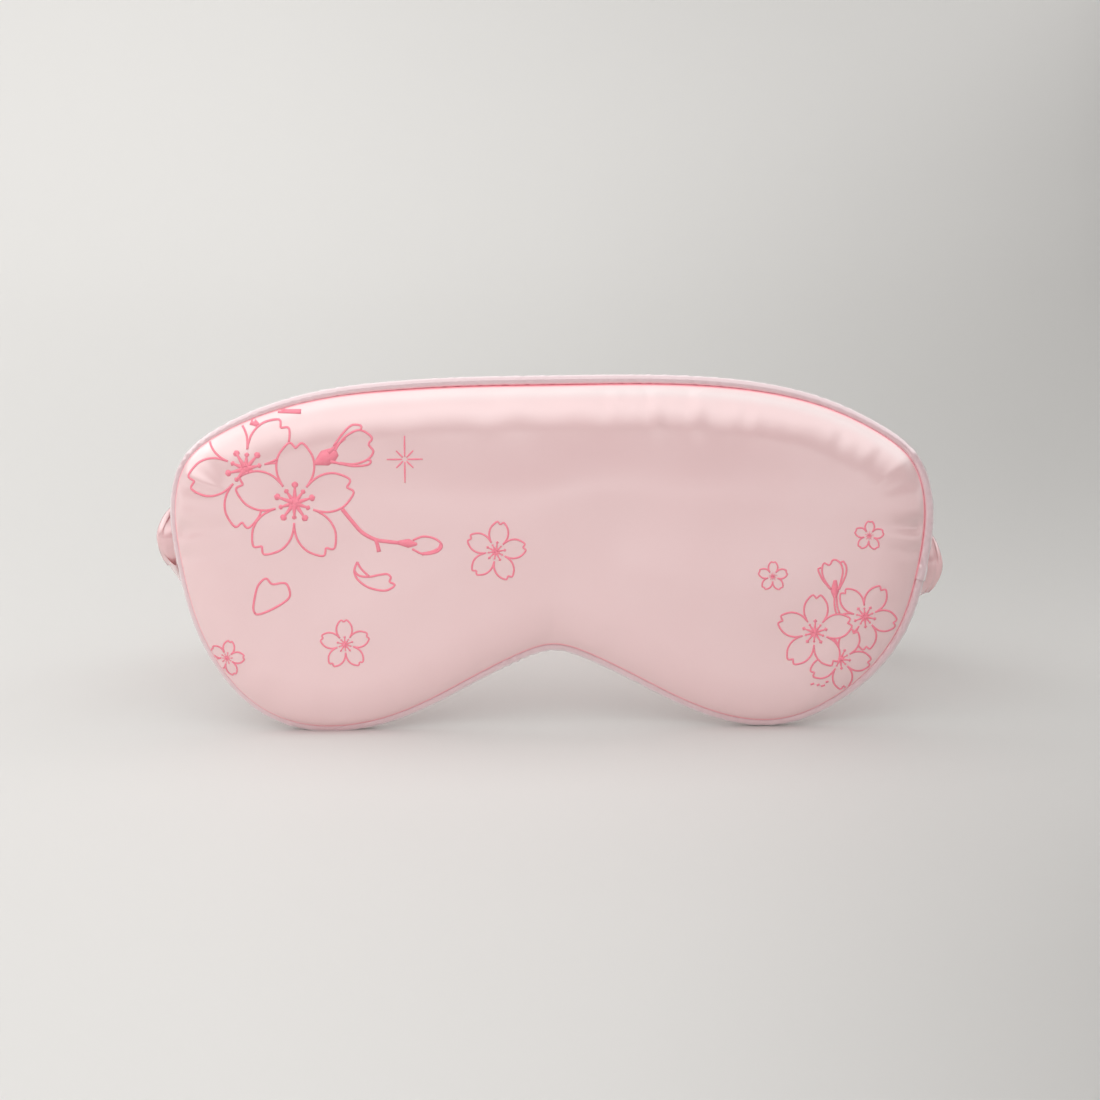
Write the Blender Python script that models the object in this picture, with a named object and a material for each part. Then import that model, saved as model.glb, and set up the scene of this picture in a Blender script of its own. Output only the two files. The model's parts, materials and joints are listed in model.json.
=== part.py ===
# Padded sleep mask with piped edges and an elastic head strap, in metres, +Z up.
# It faces -Y, stands on its two cheek lobes and leans back, with the strap lying behind it.
# Every shape of the mask's body is a ring of outline points carried inwards (depth) and
# forwards or backwards from the seam's plane (height above it).
import math

import bmesh
import bpy
import numpy as np
from mathutils import Matrix, Vector

# Overall size
MASK_WIDTH = 0.210
MASK_HEIGHT = 0.0992
NOSE_ARCH_HEIGHT = 0.0217
LOBE_HALF_SPACING = 0.0597
LEAN_ANGLE = 7.0

# Edge: the piping's strip and cord, and the thread that closes the seam
PIPING_DIAMETER = 0.0030
PIPING_WALL = 0.00035
FLANGE_LENGTH = 0.0030
FLANGE_SLIT = 0.0008
THREAD_THICKNESS = 0.0002
THREAD_WIDTH = 0.0004
LAP_GAP = 0.0004
LAP_HEIGHT = 0.0462

# Covers and filling
COVER_THICKNESS = 0.0005
FRONT_PUFF = 0.0049
FRONT_CROWN = 0.0010
BACK_PUFF = 0.0029
SHOULDER_WIDTH = 0.0090
BLACKOUT_THICKNESS = 0.0010

# Strap
STRAP_WIDTH = 0.018
STRAP_SLEEVE_WALL = 0.0004
ELASTIC_THICKNESS = 0.0008
STRAP_LOOP_DEPTH = 0.112
STRAP_ROOT_HEIGHT = 0.0500
STRAP_START_OVERLAP = 0.0040
STRAP_BACK_SHARE = 1.0 / 3.0
STRAP_END_THICKNESS = 0.0010
STRAP_END_REACH = 0.0062
BAR_TACK_WIDTH = 0.0012
BAR_TACK_THICKNESS = 0.0004

# Clearances between touching pieces
GAP = 0.0003
SIDE_CLEARANCE = 0.0010

# How finely curves are divided
OUTLINE_SPACING = 0.0076
SHOULDER_STEPS = 5
CORD_SIDES = 6
SLEEVE_ARC_POINTS = 8
SIDE_RUN_STEPS = 12

# Worked out from the sizes above
HALF_WIDTH = MASK_WIDTH / 2
PIPING_RADIUS = PIPING_DIAMETER / 2
CORD_RADIUS = PIPING_RADIUS - PIPING_WALL - GAP
FLANGE_HALF = FLANGE_SLIT / 2 + PIPING_WALL
FLANGE_END = PIPING_DIAMETER + FLANGE_LENGTH
COVER_EDGE = PIPING_DIAMETER + GAP / 2
COVER_BASE = FLANGE_HALF + GAP
STRAP_THICKNESS = 2 * STRAP_SLEEVE_WALL + 2 * GAP + ELASTIC_THICKNESS
STRAP_END_X = HALF_WIDTH + SIDE_CLEARANCE
STRAP_LINE_X = STRAP_END_X + GAP + STRAP_THICKNESS / 2
STRAP_PLANE = PIPING_RADIUS + GAP + STRAP_END_THICKNESS / 2

# Half of the outline. Upper edge and cheek as shares of half the width and of the height,
# nose arch as shares of the lobe's place and of the arch's height.
UPPER_EDGE = [(0.0, 1.0), (0.40, 0.992), (0.708, 0.931), (0.867, 0.850), (0.961, 0.765), (1.0, 0.633)]
CHEEK = [(0.983, 0.462), (0.926, 0.266), (0.848, 0.142), (0.693, 0.027)]
NOSE_ARCH = [(1.0, 0.0), (0.601, 0.267), (0.402, 0.544), (0.151, 0.885), (0.0, 1.0)]


def clear_scene():
    for obj in list(bpy.data.objects):
        bpy.data.objects.remove(obj, do_unlink=True)


def make_material(name, color, roughness, metallic=0.0):
    material = bpy.data.materials.new(name)
    material.use_nodes = True
    shader = material.node_tree.nodes["Principled BSDF"]
    shader.inputs["Base Color"].default_value = (*color, 1.0)
    shader.inputs["Roughness"].default_value = roughness
    shader.inputs["Metallic"].default_value = metallic
    return material


def make_empty(name, location, tilt_degrees, parent=None):
    empty = bpy.data.objects.new(name, None)
    bpy.context.collection.objects.link(empty)
    empty.parent = parent
    empty.location = location
    empty.rotation_euler = (math.radians(tilt_degrees), 0.0, 0.0)
    return empty


def add_object(name, bm, material, parent, smooth=True):
    bmesh.ops.recalc_face_normals(bm, faces=bm.faces)
    mesh = bpy.data.meshes.new(name)
    bm.to_mesh(mesh)
    bm.free()
    mesh.materials.append(material)
    if smooth:
        mesh.shade_smooth()
        mesh.set_sharp_from_angle(angle=math.radians(50))
    obj = bpy.data.objects.new(name, mesh)
    bpy.context.collection.objects.link(obj)
    obj.parent = parent
    return obj


def closed_spline(points, samples_per_span):
    """Smooth closed curve through the points: periodic cubic spline over chord length."""
    points = np.asarray(points)
    count = len(points)
    span = np.linalg.norm(np.roll(points, -1, axis=0) - points, axis=1)
    before = np.roll(span, 1)
    matrix = np.zeros((count, count))
    rows = np.arange(count)
    matrix[rows, rows] = 2 * (span + before)
    matrix[rows, (rows - 1) % count] = before
    matrix[rows, (rows + 1) % count] = span
    slope = (np.roll(points, -1, axis=0) - points) / span[:, None]
    bend = np.linalg.solve(matrix, 6 * (slope - np.roll(slope, 1, axis=0)))
    step = np.arange(samples_per_span) / samples_per_span
    curve = []
    for i in range(count):
        a, b, length = points[i], points[(i + 1) % count], span[i]
        ma, mb = bend[i], bend[(i + 1) % count]
        t = step[:, None]
        cubic = ((1 - t) ** 3 - (1 - t)) * ma + (t**3 - t) * mb
        curve.append(a * (1 - t) + b * t + cubic * length**2 / 6)
    return np.vstack(curve)


def mask_outline():
    """Silhouette points (x, z), evenly spaced, clockwise from the top's middle, symmetric."""
    half = [(x * HALF_WIDTH, z * MASK_HEIGHT) for x, z in UPPER_EDGE + CHEEK]
    half += [(x * LOBE_HALF_SPACING, z * NOSE_ARCH_HEIGHT) for x, z in NOSE_ARCH]
    other = [(-x, z) for x, z in reversed(half[1:-1])]
    fine = closed_spline(half + other, 40)
    right = fine[: (len(half) - 1) * 40 + 1]
    length = np.concatenate([[0], np.cumsum(np.linalg.norm(np.diff(right, axis=0), axis=1))])
    steps = round(length[-1] / OUTLINE_SPACING)
    stations = np.linspace(0, length[-1], steps + 1)
    right = np.column_stack([np.interp(stations, length, right[:, i]) for i in (0, 1)])
    right[[0, -1], 0] = 0.0
    left = right[-2:0:-1] * (-1, 1)
    return np.vstack([right, left])


def inward_normals(outline):
    along = np.roll(outline, -1, axis=0) - np.roll(outline, 1, axis=0)
    along /= np.linalg.norm(along, axis=1)[:, None]
    return np.column_stack([along[:, 1], -along[:, 0]])


OUTLINE = mask_outline()
INWARD = inward_normals(OUTLINE)


def ring_at(depth, height):
    """The outline moved inwards by depth, and back (+Y) from the seam's plane by height."""
    flat = OUTLINE + INWARD * depth
    return np.column_stack([flat[:, 0], np.full(len(flat), height), flat[:, 1]])


def crown_ring(ring, share, rise):
    """A plateau's ring drawn in towards the line between the two eyes, and raised."""
    spine_half = LOBE_HALF_SPACING
    spine_z = (MASK_HEIGHT + NOSE_ARCH_HEIGHT) / 2
    spine = np.column_stack([np.clip(ring[:, 0], -spine_half, spine_half), ring[:, 1],
                             np.full(len(ring), spine_z)])
    drawn = ring * (1 - share) + spine * share
    drawn[:, 1] = ring[:, 1] + rise
    return drawn


def join_rings(bm, first, second):
    count = len(first)
    for i in range(count):
        bm.faces.new((first[i], first[(i + 1) % count], second[(i + 1) % count], second[i]))


def solid_from_rings(rings):
    """Closed solid whose skin runs through the rings, with a flat cap on the first and last."""
    bm = bmesh.new()
    loops = [[bm.verts.new(point) for point in ring] for ring in rings]
    for first, second in zip(loops, loops[1:]):
        join_rings(bm, first, second)
    bm.faces.new(loops[0])
    bm.faces.new(loops[-1])
    bmesh.ops.triangulate(bm, faces=[f for f in bm.faces if len(f.verts) > 4])
    return bm


def dome_rings(side, inset, puff, crown):
    """Rings of a puffed surface: a quarter-ellipse shoulder, then a plateau with a low crown.

    side is -1 for the front and +1 for the back. inset moves the whole skin inwards.
    """
    angles = [i / SHOULDER_STEPS * math.pi / 2 for i in range(SHOULDER_STEPS + 1)]
    width, rise = SHOULDER_WIDTH - inset, puff - inset
    rings = []
    for angle in angles:
        depth = COVER_EDGE + SHOULDER_WIDTH - width * math.cos(angle)
        rings.append(ring_at(depth, side * (COVER_BASE + rise * math.sin(angle))))
    plateau = rings[-1]
    if crown:
        rings.append(crown_ring(plateau, 0.35, side * crown * 0.7))
    rings.append(crown_ring(plateau, 0.65, side * crown))
    return rings


def build_cover(name, side, puff, crown, material, parent):
    """A sewn cover: a bowl of even cloth thickness, standing on the piping's flange."""
    outer = dome_rings(side, 0.0, puff, crown)
    inner = dome_rings(side, COVER_THICKNESS, puff, crown)
    bm = solid_from_rings(outer[::-1] + inner)
    return add_object(name, bm, material, parent)


def build_wadding(name, side, puff, crown, material, parent):
    """Filling under a cover: the same dome, a gap inside the cloth, with a flat seam side."""
    rings = dome_rings(side, COVER_THICKNESS + GAP, puff, crown)
    bm = solid_from_rings(rings[::-1])
    return add_object(name, bm, material, parent)


def build_blackout_layer(material, parent):
    edge = FLANGE_END + GAP
    half = BLACKOUT_THICKNESS / 2
    bm = solid_from_rings([ring_at(edge, -half), ring_at(edge, half)])
    return add_object("blackout_layer", bm, material, parent, smooth=False)


def lap_index():
    """The outline point on the right side, nearest to where the piping's ends meet."""
    right = OUTLINE[: len(OUTLINE) // 2 + 1]
    score = np.abs(right[:, 1] - LAP_HEIGHT) + (right[:, 0] < HALF_WIDTH * 0.8) * MASK_HEIGHT
    return int(np.argmin(score))


def sweep_round_edge(section, open_gap):
    """Carry a closed section of (depth, height) points round the outline, from lap to lap."""
    start = lap_index()
    order = [(start + i) % len(OUTLINE) for i in range(len(OUTLINE) + 1)]
    along = np.column_stack([-INWARD[:, 1], INWARD[:, 0]])
    bm = bmesh.new()
    loops = []
    for step, i in enumerate(order):
        shift = np.zeros(2)
        if step == 0:
            shift = along[i] * open_gap / 2
        elif step == len(order) - 1:
            shift = -along[i] * open_gap / 2
        loop = []
        for depth, height in section:
            x, z = OUTLINE[i] + INWARD[i] * depth + shift
            loop.append(bm.verts.new((x, height, z)))
        loops.append(loop)
    for first, second in zip(loops, loops[1:]):
        join_rings(bm, first, second)
    bm.faces.new(loops[0])
    bm.faces.new(loops[-1])
    bmesh.ops.triangulate(bm, faces=[f for f in bm.faces if len(f.verts) > 4])
    return bm


def arc_points(radius, opening, count):
    """Points round the piping's centre, from the flange's front side to its back side."""
    start = math.asin(opening / radius)
    angles = np.linspace(start, 2 * math.pi - start, count)
    return [(PIPING_RADIUS + radius * math.cos(a), -radius * math.sin(a)) for a in angles]


def build_piping_sleeve(material, parent):
    """A strip folded round the cord: two plies of flange, open at the flange's inner end."""
    outer = arc_points(PIPING_RADIUS, FLANGE_HALF, SLEEVE_ARC_POINTS)
    inner = arc_points(PIPING_RADIUS - PIPING_WALL, FLANGE_SLIT / 2, SLEEVE_ARC_POINTS)
    section = [(FLANGE_END, -FLANGE_HALF)] + outer + [(FLANGE_END, FLANGE_HALF)]
    section += [(FLANGE_END, FLANGE_SLIT / 2)] + inner[::-1] + [(FLANGE_END, -FLANGE_SLIT / 2)]
    return add_object("piping_sleeve", sweep_round_edge(section, LAP_GAP), material, parent)


def build_piping_cord(material, parent):
    angles = [2 * math.pi * i / CORD_SIDES for i in range(CORD_SIDES)]
    section = [(PIPING_RADIUS + CORD_RADIUS * math.cos(a), CORD_RADIUS * math.sin(a)) for a in angles]
    return add_object("piping_cord", sweep_round_edge(section, LAP_GAP), material, parent)


def build_seam_thread(material, parent):
    near, far = PIPING_DIAMETER + GAP / 2, PIPING_DIAMETER + GAP / 2 + THREAD_WIDTH
    half = THREAD_THICKNESS / 2
    section = [(near, -half), (near, half), (far, half), (far, -half)]
    return add_object("seam_thread", sweep_round_edge(section, LAP_GAP), material, parent, smooth=False)


def edge_x_at(height):
    """Half width of the silhouette at a height on the cheek's side."""
    right = OUTLINE[: len(OUTLINE) // 2 + 1]
    side = right[right[:, 0] > HALF_WIDTH * 0.8][::-1]
    return float(np.interp(height, side[:, 1], side[:, 0]))


def build_box(name, low, high, material, parent, smooth=False):
    bm = bmesh.new()
    bmesh.ops.create_cube(bm, size=1.0)
    low, high = Vector(low), Vector(high)
    bmesh.ops.scale(bm, vec=high - low, verts=bm.verts)
    bmesh.ops.translate(bm, vec=(low + high) / 2, verts=bm.verts)
    return add_object(name, bm, material, parent, smooth)


def build_strap_end(name, side, material, parent):
    """The strap's flattened end: from inside the side seam, out behind the piping."""
    inner = edge_x_at(STRAP_ROOT_HEIGHT) - STRAP_END_REACH
    xs = sorted((side * inner, side * STRAP_END_X))
    low = (xs[0], STRAP_PLANE - STRAP_END_THICKNESS / 2, STRAP_ROOT_HEIGHT - STRAP_WIDTH / 2)
    high = (xs[1], STRAP_PLANE + STRAP_END_THICKNESS / 2, STRAP_ROOT_HEIGHT + STRAP_WIDTH / 2)
    return build_box(name, low, high, material, parent)


def build_bar_tack(name, side, material, parent):
    """Stitching under the strap's end, between it and the piping's flange."""
    inner = edge_x_at(STRAP_ROOT_HEIGHT) - STRAP_END_REACH
    xs = sorted((side * inner, side * (inner + BAR_TACK_WIDTH)))
    top = STRAP_PLANE - STRAP_END_THICKNESS / 2 - GAP
    reach = STRAP_WIDTH / 2 - 2 * GAP
    low = (xs[0], top - BAR_TACK_THICKNESS, STRAP_ROOT_HEIGHT - reach)
    high = (xs[1], top, STRAP_ROOT_HEIGHT + reach)
    return build_box(name, low, high, material, parent)


def cut_strap_slots(targets, material, parent):
    """Slots in the rear cover's edge and the rear wadding, where the strap's ends go in."""
    inner = edge_x_at(STRAP_ROOT_HEIGHT) - STRAP_END_REACH - GAP
    reach = STRAP_WIDTH / 2 + GAP
    for side, label in ((-1, "left"), (1, "right")):
        xs = sorted((side * inner, side * (STRAP_END_X + SIDE_CLEARANCE)))
        low = (xs[0], 0.0, STRAP_ROOT_HEIGHT - reach)
        high = (xs[1], STRAP_PLANE + STRAP_END_THICKNESS / 2 + GAP, STRAP_ROOT_HEIGHT + reach)
        cutter = build_box("strap_slot_cutter_" + label, low, high, material, parent)
        cutter.hide_render = True
        cutter.display_type = "WIRE"
        for target in targets:
            cut = target.modifiers.new("strap_slot_" + label, "BOOLEAN")
            cut.operation = "DIFFERENCE"
            cut.solver = "EXACT"
            cut.object = cutter


def strap_droop():
    """Angle below level at which the strap's rear lower edge just reaches the floor."""
    lean = math.radians(LEAN_ANGLE)
    height = STRAP_ROOT_HEIGHT * math.cos(lean) - STRAP_PLANE * math.sin(lean)
    half = STRAP_WIDTH / 2
    depth = STRAP_LOOP_DEPTH + STRAP_THICKNESS / 2
    return math.asin(height / math.hypot(depth, half)) - math.atan2(half, depth)


def strap_path(start, end, steps, lead_in):
    """Half-ellipse loop in the strap's plane, (x, y), with a straight lead-in at a strap end."""
    angles = np.linspace(start, end, steps + 1)
    path = np.column_stack([STRAP_LINE_X * np.cos(angles), STRAP_LOOP_DEPTH * np.sin(angles)])
    normals = np.column_stack([STRAP_LOOP_DEPTH * np.cos(angles), STRAP_LINE_X * np.sin(angles)])
    normals /= np.linalg.norm(normals, axis=1)[:, None]
    if lead_in == "start":
        path = np.vstack([[STRAP_LINE_X, -STRAP_START_OVERLAP], path])
        normals = np.vstack([[1.0, 0.0], normals])
    if lead_in == "end":
        path = np.vstack([path, [-STRAP_LINE_X, -STRAP_START_OVERLAP]])
        normals = np.vstack([normals, [-1.0, 0.0]])
    return path, normals


def band_loops(bm, path, normals, thickness, width):
    """Vertex loops of a flat band's rectangular section at each point of the path."""
    corners = [(-0.5, -0.5), (0.5, -0.5), (0.5, 0.5), (-0.5, 0.5)]
    loops = []
    for point, normal in zip(path, normals):
        loop = []
        for across, up in corners:
            x, y = point + normal * across * thickness
            loop.append(bm.verts.new((x, y, up * width)))
        loops.append(loop)
    return loops


def build_elastic(name, path, normals, material, parent):
    bm = bmesh.new()
    width = STRAP_WIDTH - 2 * STRAP_SLEEVE_WALL - 2 * GAP
    loops = band_loops(bm, path, normals, ELASTIC_THICKNESS, width)
    for first, second in zip(loops, loops[1:]):
        join_rings(bm, first, second)
    bm.faces.new(loops[0])
    bm.faces.new(loops[-1])
    return add_object(name, bm, material, parent)


def build_strap_sleeve(name, path, normals, material, parent):
    """Flat tube round the elastic, open at both ends."""
    bm = bmesh.new()
    outer = band_loops(bm, path, normals, STRAP_THICKNESS, STRAP_WIDTH)
    inner = band_loops(bm, path, normals, STRAP_THICKNESS - 2 * STRAP_SLEEVE_WALL,
                       STRAP_WIDTH - 2 * STRAP_SLEEVE_WALL)
    for loops in (outer, inner):
        for first, second in zip(loops, loops[1:]):
            join_rings(bm, first, second)
    join_rings(bm, outer[0], inner[0])
    join_rings(bm, outer[-1], inner[-1])
    return add_object(name, bm, material, parent)


def build_strap(sleeve_material, elastic_material, parent):
    """Sleeve and elastic, each in three lengths with a gap's width between them."""
    half_back = math.pi * STRAP_BACK_SHARE / 2
    joint_gap = GAP / STRAP_LOOP_DEPTH
    right_end = math.pi / 2 - half_back
    left_start = math.pi / 2 + half_back
    runs = {
        "right": (0.0, right_end - joint_gap, "start"),
        "back": (right_end, left_start, None),
        "left": (left_start + joint_gap, math.pi, "end"),
    }
    for label, (start, end, lead_in) in runs.items():
        path, normals = strap_path(start, end, SIDE_RUN_STEPS, lead_in)
        build_strap_sleeve("strap_sleeve_" + label, path, normals, sleeve_material, parent)
        build_elastic("strap_elastic_" + label, path, normals, elastic_material, parent)


def centre_on_floor(frame):
    """Move the whole part so that its box stands on the floor, centred on the origin."""
    bpy.context.view_layer.update()
    corners = []
    for obj in bpy.context.collection.objects:
        if obj.type == "MESH" and not obj.hide_render:
            corners += [obj.matrix_world @ vertex.co for vertex in obj.data.vertices]
    corners = np.array(corners)
    low, high = corners.min(axis=0), corners.max(axis=0)
    frame.location = (-(low[0] + high[0]) / 2, -(low[1] + high[1]) / 2, -low[2])
    bpy.context.view_layer.update()


def main():
    clear_scene()
    satin = make_material("printed_satin", (0.80, 0.58, 0.58), 0.35)
    lining = make_material("lining_satin", (0.80, 0.58, 0.58), 0.38)
    piping_satin = make_material("piping_satin", (0.72, 0.50, 0.52), 0.35)
    strap_satin = make_material("strap_satin", (0.84, 0.66, 0.66), 0.35)
    cord_cotton = make_material("cord_cotton", (0.90, 0.88, 0.84), 0.85)
    wadding = make_material("wadding", (0.93, 0.92, 0.90), 0.95)
    blackout = make_material("blackout_cloth", (0.03, 0.03, 0.03), 0.9)
    elastic = make_material("elastic", (0.88, 0.86, 0.84), 0.8)
    thread = make_material("thread", (0.85, 0.60, 0.62), 0.6)

    frame = make_empty("mask_frame", (0, 0, 0), 0)
    body = make_empty("mask_body", (0, 0, 0), -LEAN_ANGLE, frame)
    build_cover("front_panel", -1, FRONT_PUFF, FRONT_CROWN, satin, body)
    back_panel = build_cover("back_panel", 1, BACK_PUFF, 0.0, lining, body)
    build_wadding("front_wadding", -1, FRONT_PUFF, FRONT_CROWN, wadding, body)
    rear_wadding = build_wadding("rear_wadding", 1, BACK_PUFF, 0.0, wadding, body)
    build_blackout_layer(blackout, body)
    build_piping_sleeve(piping_satin, body)
    build_piping_cord(cord_cotton, body)
    build_seam_thread(thread, body)
    for side, label in ((-1, "left"), (1, "right")):
        build_strap_end("strap_end_" + label, side, strap_satin, body)
        build_bar_tack("bar_tack_" + label, side, thread, body)
    cut_strap_slots((back_panel, rear_wadding), thread, body)

    root = Matrix.Rotation(math.radians(-LEAN_ANGLE), 3, "X") @ Vector((0, STRAP_PLANE, STRAP_ROOT_HEIGHT))
    strap_axis = make_empty("strap_axis", root, -math.degrees(strap_droop()), frame)
    build_strap(strap_satin, elastic, strap_axis)
    centre_on_floor(frame)


main()
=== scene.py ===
import json
import math
import bpy
import numpy as np
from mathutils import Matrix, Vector


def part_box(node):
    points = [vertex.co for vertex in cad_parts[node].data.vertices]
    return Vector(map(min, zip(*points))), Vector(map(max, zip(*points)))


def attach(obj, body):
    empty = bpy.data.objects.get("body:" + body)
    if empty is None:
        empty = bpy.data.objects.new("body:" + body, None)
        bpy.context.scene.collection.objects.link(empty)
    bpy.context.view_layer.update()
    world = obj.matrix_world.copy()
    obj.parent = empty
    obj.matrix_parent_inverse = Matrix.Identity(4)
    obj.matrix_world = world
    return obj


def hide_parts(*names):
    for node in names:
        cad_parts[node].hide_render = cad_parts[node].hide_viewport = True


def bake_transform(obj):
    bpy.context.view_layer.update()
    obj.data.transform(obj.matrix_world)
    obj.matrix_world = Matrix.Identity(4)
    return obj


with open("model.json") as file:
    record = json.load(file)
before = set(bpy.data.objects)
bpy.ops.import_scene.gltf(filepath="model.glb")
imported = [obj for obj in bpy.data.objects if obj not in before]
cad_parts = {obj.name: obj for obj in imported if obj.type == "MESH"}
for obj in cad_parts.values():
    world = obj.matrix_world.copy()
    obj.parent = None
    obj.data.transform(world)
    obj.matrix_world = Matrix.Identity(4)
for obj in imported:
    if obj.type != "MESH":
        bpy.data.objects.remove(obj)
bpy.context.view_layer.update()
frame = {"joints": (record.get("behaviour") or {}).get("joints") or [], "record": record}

mm = 0.001

# Padded satin sleep mask. The mask's own coordinates are x to the right, y from the front to
# the wearer, z up along the mask, with the seam's plane at y = 0. All shapes are worked out there.
# s is the share of the way round the edge, clockwise from the top's middle, and depth is the
# distance inwards from the silhouette.

maskShape = dict(
    halfWidth=105.0 * mm,
    height=99.2 * mm,
    archHeight=21.7 * mm,
    lobeX=59.7 * mm,
    upperEdge=[(0.0, 1.0), (0.40, 0.992), (0.708, 0.931), (0.867, 0.850), (0.961, 0.765), (1.0, 0.633)],
    cheek=[(0.983, 0.462), (0.926, 0.266), (0.848, 0.142), (0.693, 0.027)],
    noseArch=[(1.0, 0.0), (0.601, 0.267), (0.402, 0.544), (0.151, 0.885), (0.0, 1.0)],
    wearerDepth=3.95 * mm,
    wearerHeight=60.0 * mm,
    edgeSamples=1800,
)

print("placing the mask's frame")
wearerFace = frame["record"]["mounts"][0]
backward = np.array(wearerFace["axis"], float)
backward /= np.linalg.norm(backward)
upward = np.array([0.0, -backward[2], backward[1]])
maskOrigin = (np.array(wearerFace["pos_m"], float) - backward * maskShape["wearerDepth"]
              - upward * maskShape["wearerHeight"])
strapSwing = next(joint for joint in frame["joints"] if joint["name"] == "strap_swing")
strapRoot = np.array(strapSwing["pos_m"], float)


def toWorld(x, y, z):
    # mask coordinates to the shared frame
    x, y, z = np.broadcast_arrays(x, y, z)
    flat = np.stack([x, np.zeros_like(x), np.zeros_like(x)], -1)
    return maskOrigin + flat + y[..., None] * backward + z[..., None] * upward


def runLength(points):
    # distance walked along a line of points, starting at 0
    return np.concatenate([[0], np.cumsum(np.linalg.norm(np.diff(points, axis=0), axis=1))])


def unit(rows):
    return rows / np.linalg.norm(rows, axis=1)[:, None]


def fullTurn(count):
    return np.linspace(0, 2 * math.pi, count, endpoint=False)


def uvGrid(along, across, shape):
    return np.stack([np.broadcast_to(along, shape), np.broadcast_to(across, shape)], -1)


def closedSpline(points, perSpan):
    # periodic cubic spline over chord length: second derivatives from one linear system
    points = np.asarray(points, float)
    count = len(points)
    span = np.linalg.norm(np.roll(points, -1, 0) - points, axis=1)
    before = np.roll(span, 1)
    rows = np.arange(count)
    system = np.zeros((count, count))
    system[rows, rows] = 2 * (span + before)
    system[rows, (rows - 1) % count] = before
    system[rows, (rows + 1) % count] = span
    slope = (np.roll(points, -1, 0) - points) / span[:, None]
    bend = np.linalg.solve(system, 6 * (slope - np.roll(slope, 1, 0)))
    t = (np.arange(perSpan) / perSpan)[None, :, None]
    a, b = points[:, None], np.roll(points, -1, 0)[:, None]
    ma, mb = bend[:, None], np.roll(bend, -1, 0)[:, None]
    bow = ((1 - t) ** 3 - (1 - t)) * ma + (t ** 3 - t) * mb
    return (a * (1 - t) + b * t + bow * span[:, None, None] ** 2 / 6).reshape(-1, 2)


def openSpline(points, samples):
    # smooth open curve through points of any dimension: Catmull-Rom over chord length
    points = np.asarray(points, float)
    ends = np.vstack([2 * points[0] - points[1], points, 2 * points[-1] - points[-2]])
    along = runLength(points)
    at = np.linspace(0, along[-1], samples)
    i = np.clip(np.searchsorted(along, at, side="right") - 1, 0, len(points) - 2)
    t = ((at - along[i]) / (along[i + 1] - along[i]))[:, None]
    p0, p1, p2, p3 = ends[i], ends[i + 1], ends[i + 2], ends[i + 3]
    return 0.5 * (2 * p1 + (p2 - p0) * t + (2 * p0 - 5 * p1 + 4 * p2 - p3) * t ** 2
                  + (3 * p1 - p0 - 3 * p2 + p3) * t ** 3)


def evenly(curve, samples):
    # points evenly spaced along a closed curve, starting at its first point
    loop = np.vstack([curve, curve[:1]])
    along = runLength(loop)
    at = np.arange(samples) / samples * along[-1]
    return np.column_stack([np.interp(at, along, loop[:, i]) for i in (0, 1)]), along[-1]


def maskEdge():
    # right half from the top's middle to the nose arch, and its mirror image back up the left
    width, height = maskShape["halfWidth"], maskShape["height"]
    half = [(x * width, z * height) for x, z in maskShape["upperEdge"] + maskShape["cheek"]]
    half += [(x * maskShape["lobeX"], z * maskShape["archHeight"]) for x, z in maskShape["noseArch"]]
    other = [(-x, z) for x, z in reversed(half[1:-1])]
    return evenly(closedSpline(half + other, 60), maskShape["edgeSamples"])


def inwardOf(curve):
    # unit direction a quarter turn to the right of the way along
    run = unit(np.roll(curve, -1, 0) - np.roll(curve, 1, 0))
    return np.column_stack([run[:, 1], -run[:, 0]])


edge, edgeLength = maskEdge()
edgeShare = np.arange(len(edge)) / len(edge)


def roundEdge(pairs, blur=0.012):
    # a value that changes smoothly round the edge: straight runs between pairs, then a soft blur
    values = np.interp(edgeShare, *np.array(pairs).T, period=1.0)
    distance = np.minimum(edgeShare, 1 - edgeShare)
    kernel = np.exp(-0.5 * (distance / blur) ** 2)
    smooth = np.real(np.fft.ifft(np.fft.fft(values) * np.fft.fft(kernel / kernel.sum())))
    return lambda s: np.interp(s, edgeShare, smooth, period=1.0)


# the sewn mask isn't quite even: each pair is a share of the way round and the distance in mm
# that the edge lies outside the drawn outline there
easeOut = roundEdge([
    (0.0, -1.35), (0.115, -1.3), (0.17, -1.1), (0.195, -0.8), (0.22, -0.2), (0.25, 0.5), (0.29, 0.6),
    (0.315, -0.1), (0.345, -1.0), (0.37, -0.1), (0.40, 0.0), (0.60, 0.0), (0.615, 0.1), (0.64, 1.6),
    (0.665, 2.4), (0.69, 1.3), (0.71, 1.0), (0.75, 0.4), (0.775, 0.3), (0.805, 0.9), (0.83, 0.4),
    (0.86, -0.7), (0.885, -1.2), (0.92, -1.7)], 0.010)
edge = edge - inwardOf(edge) * easeOut(edgeShare)[:, None] * mm
edge, edgeLength = evenly(edge, maskShape["edgeSamples"])
edgeInward = inwardOf(edge)


def edgeAt(s):
    # silhouette point and inward direction at share s
    return tuple(np.stack([np.interp(s, edgeShare, column, period=1.0) for column in pair.T], -1)
                 for pair in (edge, edgeInward))


def ripple(t, low, high, count, seed):
    # unit-sized sum of cosines of whole-number frequencies, so it closes on itself over 0..1
    chance = np.random.default_rng(seed)
    waves = chance.integers(low, high + 1, count)
    phases = chance.uniform(0, 2 * math.pi, count)
    return np.cos(2 * math.pi * np.asarray(t)[..., None] * waves + phases).sum(-1) * math.sqrt(2 / count)


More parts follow.
